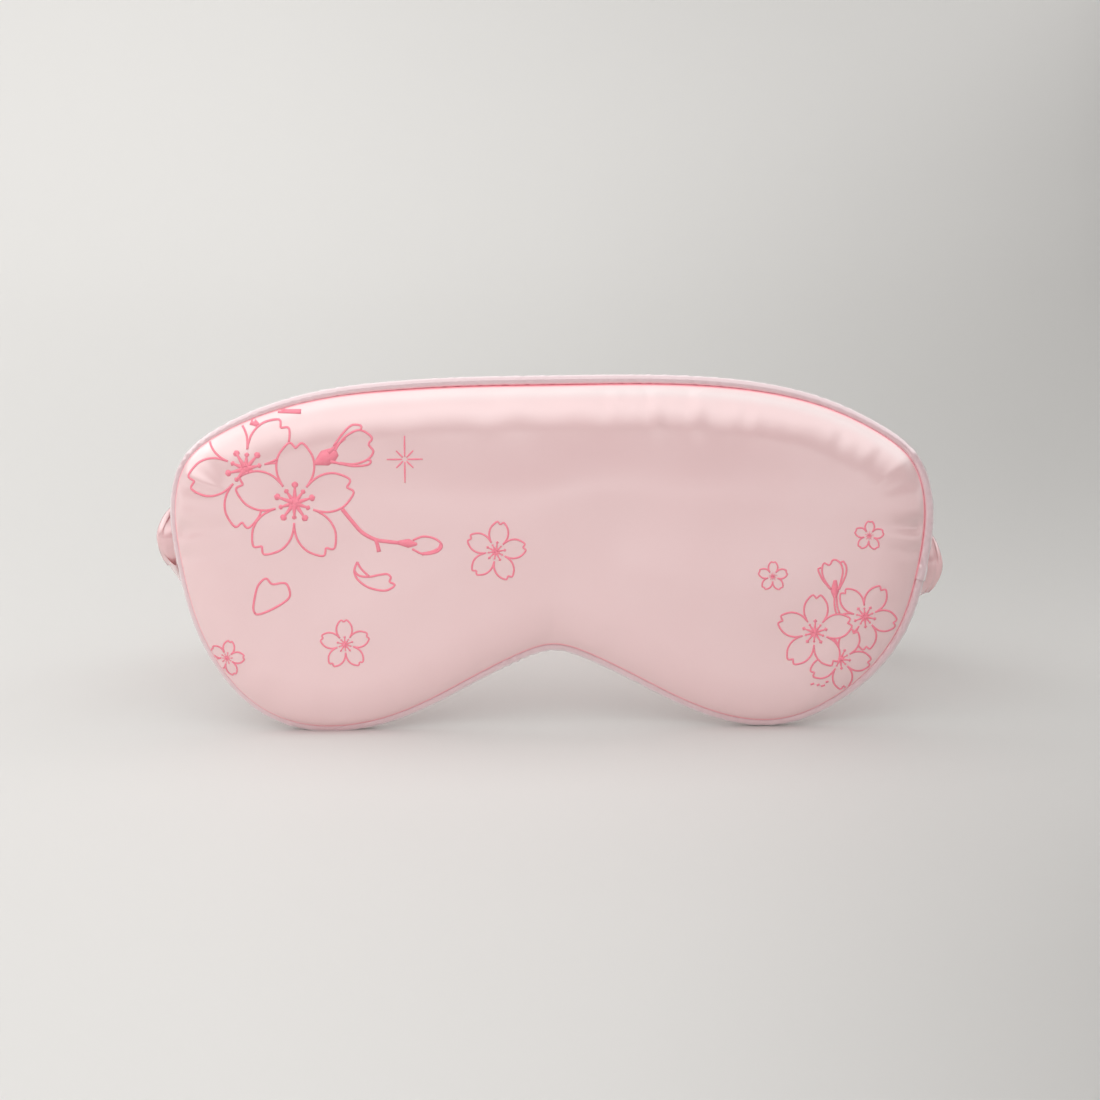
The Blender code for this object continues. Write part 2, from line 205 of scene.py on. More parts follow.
def patches(x, z, size, count, seed):
    # unit-sized slow unevenness over a flat area: cosines in random directions
    chance = np.random.default_rng(seed)
    turn = chance.uniform(0, 2 * math.pi, count)
    pitch = size * chance.uniform(0.7, 1.5, count)
    phase = chance.uniform(0, 2 * math.pi, count)
    walk = (np.asarray(x)[..., None] * np.cos(turn) + np.asarray(z)[..., None] * np.sin(turn)) / pitch
    return np.cos(2 * math.pi * walk + phase).sum(-1) * math.sqrt(2 / count)


def smoothStep(t):
    # 0 to 1 with level ends: t squared times (3 - 2t)
    t = np.clip(t, 0, 1)
    return t * t * (3 - 2 * t)


def nearestEdge(x, z):
    # for each point, the share s of the nearest silhouette point, and the distance inwards from it
    flat = np.column_stack([np.ravel(x), np.ravel(z)])
    shares, depths = [], []
    for chunk in np.array_split(flat, max(1, len(flat) // 4000)):
        gap = (chunk[:, None, 0] - edge[None, :, 0]) ** 2 + (chunk[:, None, 1] - edge[None, :, 1]) ** 2
        best = gap.argmin(1)
        inwards = ((chunk - edge[best]) * edgeInward[best]).sum(1)
        shares.append(edgeShare[best])
        depths.append(np.sqrt(gap[np.arange(len(chunk)), best]) * np.where(inwards < 0, -1, 1))
    return np.concatenate(shares).reshape(np.shape(x)), np.concatenate(depths).reshape(np.shape(x))


def cellQuads(index):
    # the four corners of each cell of an index grid
    return np.stack([index[:-1, :-1], index[:-1, 1:], index[1:, 1:], index[1:, :-1]], -1).reshape(-1, 4)


def gridQuads(rows, cols, wrapCols=False):
    index = np.arange(rows * cols).reshape(rows, cols)
    return cellQuads(np.hstack([index, index[:, :1]]) if wrapCols else index)


def fillMesh(name, points, quads, tris=None):
    # quads and triangles go in with foreach_set
    points = np.asarray(points, float).reshape(-1, 3)
    tris = np.zeros((0, 3), int) if tris is None else np.asarray(tris)
    mesh = bpy.data.meshes.new(name)
    mesh.vertices.add(len(points))
    mesh.vertices.foreach_set("co", points.astype(np.float32).ravel())
    mesh.loops.add(len(quads) * 4 + len(tris) * 3)
    mesh.loops.foreach_set("vertex_index", np.concatenate([quads.ravel(), tris.ravel()]).astype(np.int32))
    starts = np.concatenate([np.arange(len(quads)) * 4, len(quads) * 4 + np.arange(len(tris)) * 3])
    mesh.polygons.add(len(quads) + len(tris))
    mesh.polygons.foreach_set("loop_start", starts.astype(np.int32))
    mesh.update(calc_edges=True)
    mesh.validate()
    mesh.shade_smooth()
    return mesh


def outwardQuads(points, quads, tris, towards=None):
    # turn the faces round if the shell is inside out, or if an open skin faces away from towards
    flat = np.asarray(points, float).reshape(-1, 3)
    a, b, c, d = (flat[quads[:, i]] for i in range(4))
    area = np.cross(c - a, d - b)
    if towards is None:
        middle = flat.mean(0)
        facing = ((a + b + c + d) / 4 - middle) * area
    else:
        facing = area * np.asarray(towards)
    if facing.sum() < 0:
        quads = quads[:, ::-1]
        tris = None if tris is None else tris[:, ::-1]
    return quads, tris


def addUv(mesh, uv):
    # one uv point for each vertex, handed on to the corners of the faces
    corner = np.zeros(len(mesh.loops), np.int32)
    mesh.loops.foreach_get("vertex_index", corner)
    layer = mesh.uv_layers.new(name="alongCloth")
    layer.data.foreach_set("uv", np.asarray(uv, float).reshape(-1, 2)[corner].astype(np.float32).ravel())


def linkPiece(name, mesh, material):
    mesh.materials.append(material)
    piece = bpy.data.objects.new(name, mesh)
    bpy.context.scene.collection.objects.link(piece)
    return piece


def addPiece(name, points, quads, material, tris=None, towards=None, uv=None, attributes=None):
    quads, tris = outwardQuads(points, quads, tris, towards)
    mesh = fillMesh(name, points, quads, tris)
    if uv is not None:
        addUv(mesh, uv)
    for key, values in (attributes or {}).items():
        attribute = mesh.attributes.new(key, "FLOAT", "POINT")
        attribute.data.foreach_set("value", np.asarray(values, float).astype(np.float32).ravel())
    return linkPiece(name, mesh, material)


def addThickness(piece, thickness, offset=-1.0):
    # offset -1 grows the wall inwards, 1 outwards
    solid = piece.modifiers.new("clothThickness", "SOLIDIFY")
    solid.thickness = thickness
    solid.offset = offset
    solid.use_even_offset = False


def endFans(rows, cols):
    # closing triangles for the first and last row of a tube, round one extra point at each end
    ring = np.arange(cols)
    after = (ring + 1) % cols
    first = np.column_stack([np.full(cols, rows * cols), after, ring])
    last = np.column_stack([np.full(cols, 1), ring - cols, after - cols]) + rows * cols
    return np.vstack([first, last])


def addTube(name, rings, material, uv=None, attributes=None):
    # closed tube through an array of rings (rows, cols, 3), with a fan at each end
    rows, cols = rings.shape[:2]
    points = np.vstack([rings.reshape(-1, 3), rings[0].mean(0), rings[-1].mean(0)])
    quads = gridQuads(rows, cols, wrapCols=True)
    if uv is not None:
        uv = np.vstack([uv.reshape(-1, 2), uv[0].mean(0), uv[-1].mean(0)])
    return addPiece(name, points, quads, material, tris=endFans(rows, cols), uv=uv,
                    attributes=attributes)


class Sock:
    # a node socket that shader sums can be written with
    def __init__(self, maker, socket):
        self.maker, self.socket = maker, socket

    def math(self, operation, *others):
        return self.maker.node("ShaderNodeMath", dict(operation=operation), [self, *others])

    def after(self, operation, other):
        return self.maker.node("ShaderNodeMath", dict(operation=operation), [other, self])

    def __add__(self, other): return self.math("ADD", other)
    def __sub__(self, other): return self.math("SUBTRACT", other)
    def __mul__(self, other): return self.math("MULTIPLY", other)
    def __truediv__(self, other): return self.math("DIVIDE", other)
    def __radd__(self, other): return self.after("ADD", other)
    def __rsub__(self, other): return self.after("SUBTRACT", other)
    def __rmul__(self, other): return self.after("MULTIPLY", other)
    def sin(self): return self.math("SINE")
    def clamp(self): return self.maker.node("ShaderNodeClamp", {}, {"Value": self})


def setStops(ramp, stops):
    # a new ramp has two stops already
    for place, (position, color) in enumerate(stops):
        stop = ramp.elements[place] if place < 2 else ramp.elements.new(position)
        stop.position, stop.color = position, (*color, 1)


class Finish:
    # one material: node() adds a node from its type, its settings and its inputs
    def __init__(self, name, color, roughness, **constants):
        self.material = bpy.data.materials.new(name)
        self.material.use_nodes = True
        self.tree = self.material.node_tree
        self.shader = self.tree.nodes["Principled BSDF"]
        self.shader.inputs["Base Color"].default_value = (*color, 1)
        self.shader.inputs["Roughness"].default_value = roughness
        for key, value in constants.items():
            self.shader.inputs[key.replace("_", " ")].default_value = value

    def node(self, kind, settings=None, inputs=None, output=0):
        made = self.tree.nodes.new(kind)
        for key, value in (settings or {}).items():
            if key == "stops":
                setStops(made.color_ramp, value)
            else:
                setattr(made, key, value)
        given = inputs.items() if isinstance(inputs, dict) else enumerate(inputs or [])
        for key, value in given:
            if isinstance(value, Sock):
                self.tree.links.new(value.socket, made.inputs[key])
            elif value is not None:
                made.inputs[key].default_value = value
        return Sock(self, made.outputs[output])

    def feed(self, name, value):
        self.tree.links.new(value.socket, self.shader.inputs[name])

    def scaled(self, spot, scale):
        return self.node("ShaderNodeMapping", {}, {"Vector": spot, "Scale": scale})

    def place(self):
        # object coordinates
        return self.node("ShaderNodeTexCoord", output=3)

    def cloth(self):
        # the piece's own uv map, in metres along and across the cloth
        return self.node("ShaderNodeUVMap", dict(uv_map="alongCloth"))

    def noise(self, spot, scale, detail=2.0, roughness=0.5):
        return self.node("ShaderNodeTexNoise", {}, {"Vector": spot, "Scale": scale, "Detail": detail,
                                                    "Roughness": roughness})

    def mixed(self, amount, first, second, kind="MIX"):
        made = self.tree.nodes.new("ShaderNodeMix")
        made.data_type, made.blend_type = "RGBA", kind
        for socket, value in ((made.inputs[0], amount), (made.inputs[6], first), (made.inputs[7], second)):
            if isinstance(value, Sock):
                self.tree.links.new(value.socket, socket)
            else:
                socket.default_value = value if isinstance(value, float) else (*value, 1)
        return Sock(self, made.outputs[2])

    def attribute(self, name):
        return self.node("ShaderNodeAttribute", dict(attribute_name=name), output=2)

    def bump(self, height, distance, normal=None):
        return self.node("ShaderNodeBump", {}, {"Height": height, "Distance": distance, "Normal": normal})


satinLook = dict(
    color=(0.892, 0.578, 0.585),
    lightColor=(0.920, 0.638, 0.643),
    # painted highlight colour for the covers' upper shoulder
    paintedHighlightColor=(0.93, 0.80, 0.80),
    # painted shade and glow colours for the seam's fold
    paintedSeamShadeColor=(0.93, 0.26, 0.33),
    paintedSeamGlow=(0.20, 0.012, 0.03),
    # painted highlight colour for the piping's rim
    paintedRimHighlightColor=(0.96, 0.88, 0.89),
    stretch=(0.35, 1.0, 1.0),
    grainPitch=0.34 * mm,
    grainDepth=0.0008 * mm,
    slubDepth=0.004 * mm,
)


def satin(name, color, lightColor, onCloth=False, roughness=0.31, ditch=False, rim=False, sheen=0.10):
    # satin weave: long floats as a streaky fine noise, slow uneven tone, soft grain in the gloss
    finish = Finish(name, color, roughness, IOR=1.6, Specular_IOR_Level=1.0, Sheen_Weight=sheen,
                    Sheen_Roughness=0.3, Coat_Weight=1.0, Coat_Roughness=0.17, Coat_IOR=1.8)
    finish.shader.inputs["Sheen Tint"].default_value = (1.0, 0.86, 0.86, 1)
    spot = finish.cloth() if onCloth else finish.place()
    spread = finish.scaled(spot, satinLook["stretch"])
    pitch = 1 / satinLook["grainPitch"]
    floats = finish.noise(spread, pitch, 2.0, 0.6)
    cross = finish.noise(finish.scaled(spot, (1.0, 1.0, 0.4)), pitch * 0.7, 1.0)
    slubs = finish.noise(spread, pitch / 9, 2.0)
    tone = finish.noise(spot, 22.0, 3.0, 0.6)
    base = finish.mixed((tone * 1.6 - 0.3).clamp(), color, lightColor)
    base = finish.mixed(((floats - 0.5) * 0.4 + 0.2).clamp(), base, lightColor)
    # painted highlight: the piping's rim turns near-white
    if rim:
        base = finish.mixed(finish.attribute("rim"), base, satinLook["paintedRimHighlightColor"])
    # painted highlight: the covers turn paler over the upper shoulder
    if not onCloth:
        base = finish.mixed(finish.attribute("pale"), base, satinLook["paintedHighlightColor"])
    if ditch:
        # painted shade and glow: the seam's tight fold is painted red and given a faint glow, standing in for
        # light bouncing between the satin layers
        fold = finish.attribute("ditch")
        base = finish.mixed(fold, base, satinLook["paintedSeamShadeColor"])
        finish.feed("Emission Color", finish.mixed(fold, (0.0, 0.0, 0.0), satinLook["paintedSeamGlow"]))
        finish.shader.inputs["Emission Strength"].default_value = 1.0
    finish.feed("Base Color", base)
    finish.feed("Roughness", roughness + (floats - 0.5) * 0.03 + (slubs - 0.5) * 0.02)
    fine = finish.bump(floats + cross * 0.6, satinLook["grainDepth"])
    finish.feed("Normal", finish.bump(slubs, satinLook["slubDepth"], fine))
    return finish.material


def ink(name, color):
    # printed line: takes the satin's own grain, a little less glossy
    finish = Finish(name, color, 0.36, Specular_IOR_Level=0.5)
    spread = finish.scaled(finish.place(), satinLook["stretch"])
    floats = finish.noise(spread, 1 / satinLook["grainPitch"], 2.0, 0.6)
    pale = tuple(0.85 * c + 0.15 for c in color)
    finish.feed("Base Color", finish.mixed(((floats - 0.35) * 1.4).clamp(), color, pale))
    finish.feed("Normal", finish.bump(floats, 0.001 * mm))
    return finish.material


def plainCloth(name, color, otherColor, pitch, depth, onCloth=False):
    # plain weave: two crossed sine ridges, with a little uneven tone
    finish = Finish(name, color, 0.85, Sheen_Weight=0.2)
    spot = finish.cloth() if onCloth else finish.place()
    parts = [finish.node("ShaderNodeSeparateXYZ", {}, [spot], output=i) for i in (0, 1 if onCloth else 2)]
    turns = 2 * math.pi / pitch
    weave = (parts[0] * turns).sin() * (parts[1] * turns).sin()
    tone = finish.noise(spot, 60.0, 3.0)
    finish.feed("Base Color", finish.mixed((tone + weave * 0.2).clamp(), color, otherColor))
    finish.feed("Normal", finish.bump(weave, depth))
    return finish.material


def fibre(name, color, otherColor):
    # matted wadding: fine tangled noise over soft clumps
    finish = Finish(name, color, 0.95, Sheen_Weight=0.5)
    spot = finish.place()
    hairs, clumps = finish.noise(spot, 2600.0, 4.0, 0.7), finish.noise(spot, 160.0, 3.0)
    finish.feed("Base Color", finish.mixed((hairs * 0.7 + clumps * 0.4).clamp(), color, otherColor))
    finish.feed("Normal", finish.bump(hairs * 0.4 + clumps, 0.3 * mm))
    return finish.material


def twistedYarn(name, color, otherColor, pitch):
    # thread or cord: slanted ridges along the yarn, in its own uv map
    finish = Finish(name, color, 0.6, Sheen_Weight=0.3)
    spot = finish.cloth()
    along = finish.node("ShaderNodeSeparateXYZ", {}, [spot], output=0)
    across = finish.node("ShaderNodeSeparateXYZ", {}, [spot], output=1)
    ridges = ((along + across) * (2 * math.pi / pitch)).sin() * 0.5 + 0.5
    fuzz = finish.noise(spot, 9000.0, 2.0)
    finish.feed("Base Color", finish.mixed((ridges * 0.7 + fuzz * 0.3).clamp(), otherColor, color))
    finish.feed("Normal", finish.bump(ridges + fuzz * 0.3, 0.05 * mm))
    return finish.material


print("mixing the cloths")
frontSatin = satin("frontSatin", satinLook["color"], satinLook["lightColor"], ditch=True)
liningSatin = satin("liningSatin", satinLook["color"], satinLook["lightColor"], ditch=True)
pipingSatin = satin("pipingSatin", (0.74, 0.50, 0.535), (0.82, 0.60, 0.63), onCloth=True, roughness=0.235,
                    ditch=True, rim=True, sheen=0.45)
strapSatin = satin("strapSatin", (0.86, 0.49, 0.505), (0.90, 0.59, 0.60), onCloth=True, roughness=0.235,
                   sheen=0.25)
printInk = ink("printInk", (1.0, 0.25, 0.34))
waddingFibre = fibre("waddingFibre", (0.90, 0.89, 0.86), (0.97, 0.97, 0.96))
blackCloth = plainCloth("blackCloth", (0.02, 0.02, 0.022), (0.05, 0.05, 0.055), 0.5 * mm, 0.06 * mm)
elasticWeave = plainCloth("elasticWeave", (0.82, 0.80, 0.78), (0.92, 0.91, 0.89), 0.9 * mm, 0.12 * mm,
                          onCloth=True)
cordYarn = twistedYarn("cordYarn", (0.90, 0.87, 0.80), (0.74, 0.70, 0.62), 0.9 * mm)
seamYarn = twistedYarn("seamYarn", (0.85, 0.52, 0.55), (0.62, 0.30, 0.34), 0.25 * mm)


cameraView = dict(distance=0.650, elevation=12.0, roll=0.57, sensor=36.0, frameWidth=0.3036,
                  aimHeight=0.0493, aimX=-0.0008)
lightTent = dict(
    lights=dict(
        overhead=dict(place=(-0.30, 0.02, 1.15), aim=(-0.05, 0.02, 0.0), size=(1.1, 0.8), power=0.5),
        side=dict(place=(-1.00, 0.10, 0.60), aim=(0.0, 0.0, 0.05), size=(1.0, 0.8), power=1.1),
        backdrop=dict(place=(-0.60, 1.25, 0.95), aim=(-0.30, 1.75, 0.1), size=(0.6, 0.6), power=1.45),
        lowFill=dict(place=(0.20, -1.30, 0.12), aim=(0.05, 0.0, 0.03), size=(1.6, 0.25), power=1.3,
                     reflected=False),
    ),
    # room brightness by height above the horizon: (height, brightness)
    room=[(0.0, 0.15), (0.08, 1.35), (0.20, 0.06), (0.35, 0.10), (0.47, 1.2), (0.60, 1.95), (0.78, 1.4),
          (1.0, 1.0)],
    color=(1.0, 0.995, 0.985),
    wall=(0.70, 0.69, 0.67),
)
lightFlags = (dict(name="tallFlag", near=(0.28, 0.05), far=(0.85, 1.9), heights=(0.09, 0.42)),
              dict(name="lowFlag", near=(0.13, -0.46), far=(0.19, -0.17), heights=(0.045, 0.13)),
              dict(name="floorFlag", near=(0.30, -0.62), far=(0.42, -0.05), heights=(0.03, 0.30)))
# painted shade: the paper's colour is darker to the right, standing in for light falling off that side, by
# direction x / (y + fanFrom)
sweepShape = dict(
    width=9.0,
    near=-3.2,
    bendStart=1.00,
    bendRadius=1.3,
    wallTop=3.4,
    color=(0.715, 0.704, 0.688),
    fanFrom=0.9,
    paintedShade=[(-0.30, 1.0), (-0.10, 0.98), (0.0, 0.945), (0.12, 0.885), (0.20, 0.87), (0.26, 0.77),
           (0.35, 0.74)],
)


def aimAt(thing, place, target):
    thing.location = place
    thing.rotation_euler = (Vector(target) - Vector(place)).to_track_quat("-Z", "Y").to_euler()


def makeCamera():
    settings = cameraView
    rise = math.radians(settings["elevation"])
    aimY = maskOrigin[1] - settings["aimHeight"] * backward[2]
    target = np.array([settings["aimX"], aimY, settings["aimHeight"]])
    place = target + settings["distance"] * np.array([0, -math.cos(rise), math.sin(rise)])
    data = bpy.data.cameras.new("viewCamera")
    data.sensor_width = settings["sensor"]
    data.lens = settings["sensor"] * settings["distance"] / settings["frameWidth"]
    data.clip_start = 0.02
    camera = bpy.data.objects.new("viewCamera", data)
    bpy.context.scene.collection.objects.link(camera)
    aimAt(camera, tuple(place), tuple(target))
    camera.rotation_euler.rotate_axis("Z", math.radians(-settings["roll"]))
    bpy.context.scene.camera = camera


def makeLights():
    for name, settings in lightTent["lights"].items():
        data = bpy.data.lights.new(name + "Light", "AREA")
        data.shape = "RECTANGLE"
        data.size, data.size_y = settings["size"]
        data.energy = settings["power"]
        data.color = lightTent["color"]
        light = bpy.data.objects.new(name + "Light", data)
        bpy.context.scene.collection.objects.link(light)
        aimAt(light, settings["place"], settings["aim"])
        light.visible_glossy = settings.get("reflected", True)
    # the room's brightness changes with the height of the direction looked in
    world = bpy.data.worlds.new("roomLight")
    world.use_nodes = True
    tree = world.node_tree
    direction, parts, ramp = (tree.nodes.new(kind) for kind in (
        "ShaderNodeTexCoord", "ShaderNodeSeparateXYZ", "ShaderNodeValToRGB"))
    tree.links.new(direction.outputs["Generated"], parts.inputs[0])
    tree.links.new(parts.outputs["Z"], ramp.inputs[0])
    setStops(ramp.color_ramp, [(height, tuple(brightness * c for c in lightTent["color"]))
                               for height, brightness in lightTent["room"]])
    # what is looked at directly is plain, so the room behind the sweep reads as one pale wall
    seen, plain = tree.nodes.new("ShaderNodeLightPath"), tree.nodes.new("ShaderNodeMix")
    plain.data_type = "RGBA"
    plain.inputs[7].default_value = (*lightTent["wall"], 1)
    tree.links.new(seen.outputs["Is Camera Ray"], plain.inputs[0])
    tree.links.new(ramp.outputs[0], plain.inputs[6])
    tree.links.new(plain.outputs[2], tree.nodes["Background"].inputs["Color"])
    bpy.context.scene.world = world


def makeFlag(settings):
    # dark card standing to the right, just out of view, that takes the light off that side
    near, far = np.array(settings["near"]), np.array(settings["far"])
    side = near[None] + (far - near)[None] * np.linspace(0, 1, 2)[:, None]
    rows = np.stack([np.column_stack([side, np.full(2, z)]) for z in settings["heights"]])
    finish = Finish(settings["name"] + "Card", (0.02, 0.02, 0.02), 0.9)
    flag = addPiece(settings["name"], rows, gridQuads(2, 2), finish.material, towards=(-1, 0, 0))
    flag.visible_camera = False
    flag.visible_glossy = False


def makeSweep():
    # flat floor, a quarter-circle bend and a wall, carried straight across
    settings = sweepShape
    bend = np.linspace(0, math.pi / 2, 24)
    flatTo, radius = settings["bendStart"], settings["bendRadius"]
    y = np.concatenate([[settings["near"]], flatTo + radius * np.sin(bend), [flatTo + radius]])
    z = np.concatenate([[0], radius * (1 - np.cos(bend)), [settings["wallTop"]]])
    x = np.array([-0.5, 0.5]) * settings["width"]
    rows = np.stack(np.broadcast_arrays(x[None], y[:, None], z[:, None]), -1)
    finish = Finish("paleSweep", settings["color"], 0.62, Specular_IOR_Level=0.25)
    parts = [finish.node("ShaderNodeSeparateXYZ", {}, [finish.place()], output=i) for i in (0, 1)]
    fan = parts[0] / (parts[1] + settings["fanFrom"])
    low, high = settings["paintedShade"][0][0], settings["paintedShade"][-1][0]
    stops = [((at - low) / (high - low), tuple(c * bright for c in settings["color"]))
             for at, bright in settings["paintedShade"]]
    # painted shade: the sweep darkens to the right
    paintedShade = finish.node("ShaderNodeValToRGB", dict(stops=stops), [(fan - low) / (high - low)])
    finish.feed("Base Color", paintedShade)
    sweep = addPiece("sweep", rows, gridQuads(len(y), 2), finish.material, towards=(0, -1, 1))


print("setting up camera, lights and sweep")
makeCamera()
makeLights()
for settings in lightFlags:
    makeFlag(settings)
makeSweep()
bpy.context.scene.view_settings.view_transform = "Standard"


pipingShape = dict(
    radius=1.5 * mm,
    wall=0.28 * mm,
    flange=3.0 * mm,
    slit=0.42 * mm,
    lapAt=0.2545,
    lapLength=0.008,
    ripple=0.035 * mm,
    slant=0.03 * mm,
    crinkle=0.11 * mm,
    crinkleAt=0.512,
    crinkleReach=0.012,
    stations=1100,
    arcPoints=26,
)
# how far in the front cover meets the piping, and how far back the piping is rolled
seamInset = roundEdge([(s, inset * mm) for s, inset in (
    (0.0, 2.75), (0.10, 2.6), (0.165, 2.25), (0.20, 2.45), (0.235, 2.75), (0.30, 2.5), (0.34, 2.0),
    (0.38, 1.75), (0.46, 1.8), (0.50, 1.9), (0.54, 1.9), (0.62, 1.7), (0.68, 1.4), (0.75, 1.45),
    (0.80, 1.6), (0.86, 2.3), (0.93, 2.7))])
pipingBack = roundEdge([(s, back * mm) for s, back in (
    (0.0, 0.0), (0.20, 0.0), (0.30, 0.1), (0.38, 0.3), (0.50, 0.2), (0.60, 0.6), (0.68, 1.1), (0.76, 0.9),
    (0.84, 0.3), (0.93, 0.0))])
# 1 where the strap's ends are sewn in, falling off within a few millimetres
strapPlace = nearestEdge(np.array([-104.0, 104.0]) * mm, np.array([56.0, 55.0]) * mm)[0]


def nearStrap(s, reach, shift=0.0):
    # shift moves the spot down the edge from both strap ends
    left = np.abs(s - strapPlace[0] + shift / edgeLength)
    right = np.abs(s - strapPlace[1] - shift / edgeLength)
    return np.exp(-0.5 * (np.minimum(left, right) * edgeLength / reach) ** 2)


def pipingFront(s, depth):
    # front surface of the piping's round at a depth
    radius = pipingShape["radius"]
    return pipingBack(s) - np.sqrt(np.maximum(radius ** 2 - (depth - radius) ** 2, 0))


frontCover = dict(
    name="frontCover", side=-1, puff=6.3 * mm, crown=1.0 * mm, shoulder=12.5 * mm, power=1.75,
    pucker=0.12 * mm, wave=0.12 * mm, seed=11, replaces="front_panel", slot="printed_satin",
    stations=640, rings=26, thickness=0.25 * mm,
)
backCover = dict(
    name="backCover", side=1, puff=3.9 * mm, crown=0.0, shoulder=10.0 * mm, power=1.9,
    pucker=0.14 * mm, wave=0.10 * mm, seed=23, replaces="back_panel", slot="lining_satin",
    stations=560, rings=20, thickness=0.25 * mm,
)
# both covers: how far in each thing reaches, and the grooves by the strap (weight, width, shift)
coverFolds = dict(
    crownFrom=5 * mm,
    crownOver=26 * mm,
    crownHalf=86 * mm,
    puckerReach=17 * mm,
    waveSize=38 * mm,
    grooves=[(1.0, 1.6 * mm, 0.0), (0.5, 1.3 * mm, 7.5 * mm), (-0.3, 2.5 * mm, -5.0 * mm)],
    grooveDepth=1.1 * mm,
    grooveFrom=2.5 * mm,
    grooveReach=3.6 * mm,
    creaseDepth=0.45 * mm,
    creaseWidth=2.2 * mm,
    creaseReach=9 * mm,
)


def coverSeam(cover, s):
    # depth and height of the cover's edge, where it meets the piping
    if cover["side"] < 0:
        depth = seamInset(s)
        return depth, -pipingFront(s, depth) + 0.05 * mm
    lift = nearStrap(s, 4.6 * mm, 4.5 * mm)
    return 2.7 * mm + 0 * s, (0.45 + 1.9 * smoothStep(lift * 1.7)) * mm


def coverHeight(cover, s, depth, x, z):
    # height off the seam's plane: superellipse shoulder from the seam, low crown, puckers
    # that fan in from the seam, slow waves, and folds by the strap's ends
    start, low = coverSeam(cover, s)
    seed, shape = cover["seed"], coverFolds
    t = np.clip((depth - start) / cover["shoulder"], 0, 1)
    rise = (1 - (1 - t) ** cover["power"]) ** (1 / cover["power"])
    height = low + (cover["puff"] - low) * rise
    inner = smoothStep((depth - start - shape["crownFrom"]) / shape["crownOver"])
    height = height + cover["crown"] * inner * np.exp(-(x / shape["crownHalf"]) ** 4)
    fade = smoothStep(t * 5) * (1 - smoothStep((depth - start) / shape["puckerReach"]))
    folds = ripple(s, 14, 44, 14, seed) * (0.8 + 0.35 * ripple(s, 2, 7, 4, seed + 4))
    folds = folds + 0.55 * ripple(s, 40, 95, 14, seed + 1) * (0.6 + 0.6 * ripple(s, 2, 9, 5, seed + 3))
    height = height + cover["pucker"] * folds * fade
    height = height + cover["wave"] * patches(x, z, shape["waveSize"], 9, seed + 2) * inner
    # a groove runs in from each strap root, with a smaller one beside it
    beyond = np.maximum(depth - start - shape["grooveFrom"], 0)
    strapFade = smoothStep(t * 6) * np.exp(-beyond / shape["grooveReach"])
    groove = sum(weight * nearStrap(s, reach, shift) for weight, reach, shift in shape["grooves"])
    height = height - shape["grooveDepth"] * groove * strapFade
    # and one short crease up from the nose arch
    crease = np.exp(-(x / shape["creaseWidth"]) ** 2) * np.exp(-((depth - start) / shape["creaseReach"]) ** 2)
    atArch = (np.abs(s - 0.5) < 0.05)
    return height - shape["creaseDepth"] * crease * smoothStep(t * 4) * atArch


def bell(away, width):
    # 1 at no distance, falling off as e to the minus square
    return np.exp(-(away / width) ** 2)


def coonsGrid(ring, across, down):
    # fills a ring of points: opposite sides joined by straight blends, less their corner blend
    top = ring[: across + 1]
    right = ring[across: across + down + 1]
    bottom = ring[across + down: 2 * across + down + 1][::-1]
    left = np.vstack([ring[2 * across + down:], ring[:1]])[::-1]
    u = np.linspace(0, 1, across + 1)[None, :, None]
    v = np.linspace(0, 1, down + 1)[:, None, None]
    corners = (1 - v) * ((1 - u) * top[0] + u * top[-1]) + v * ((1 - u) * bottom[0] + u * bottom[-1])
    return (1 - v) * top[None] + v * bottom[None] + (1 - u) * left[:, None] + u * right[:, None] - corners


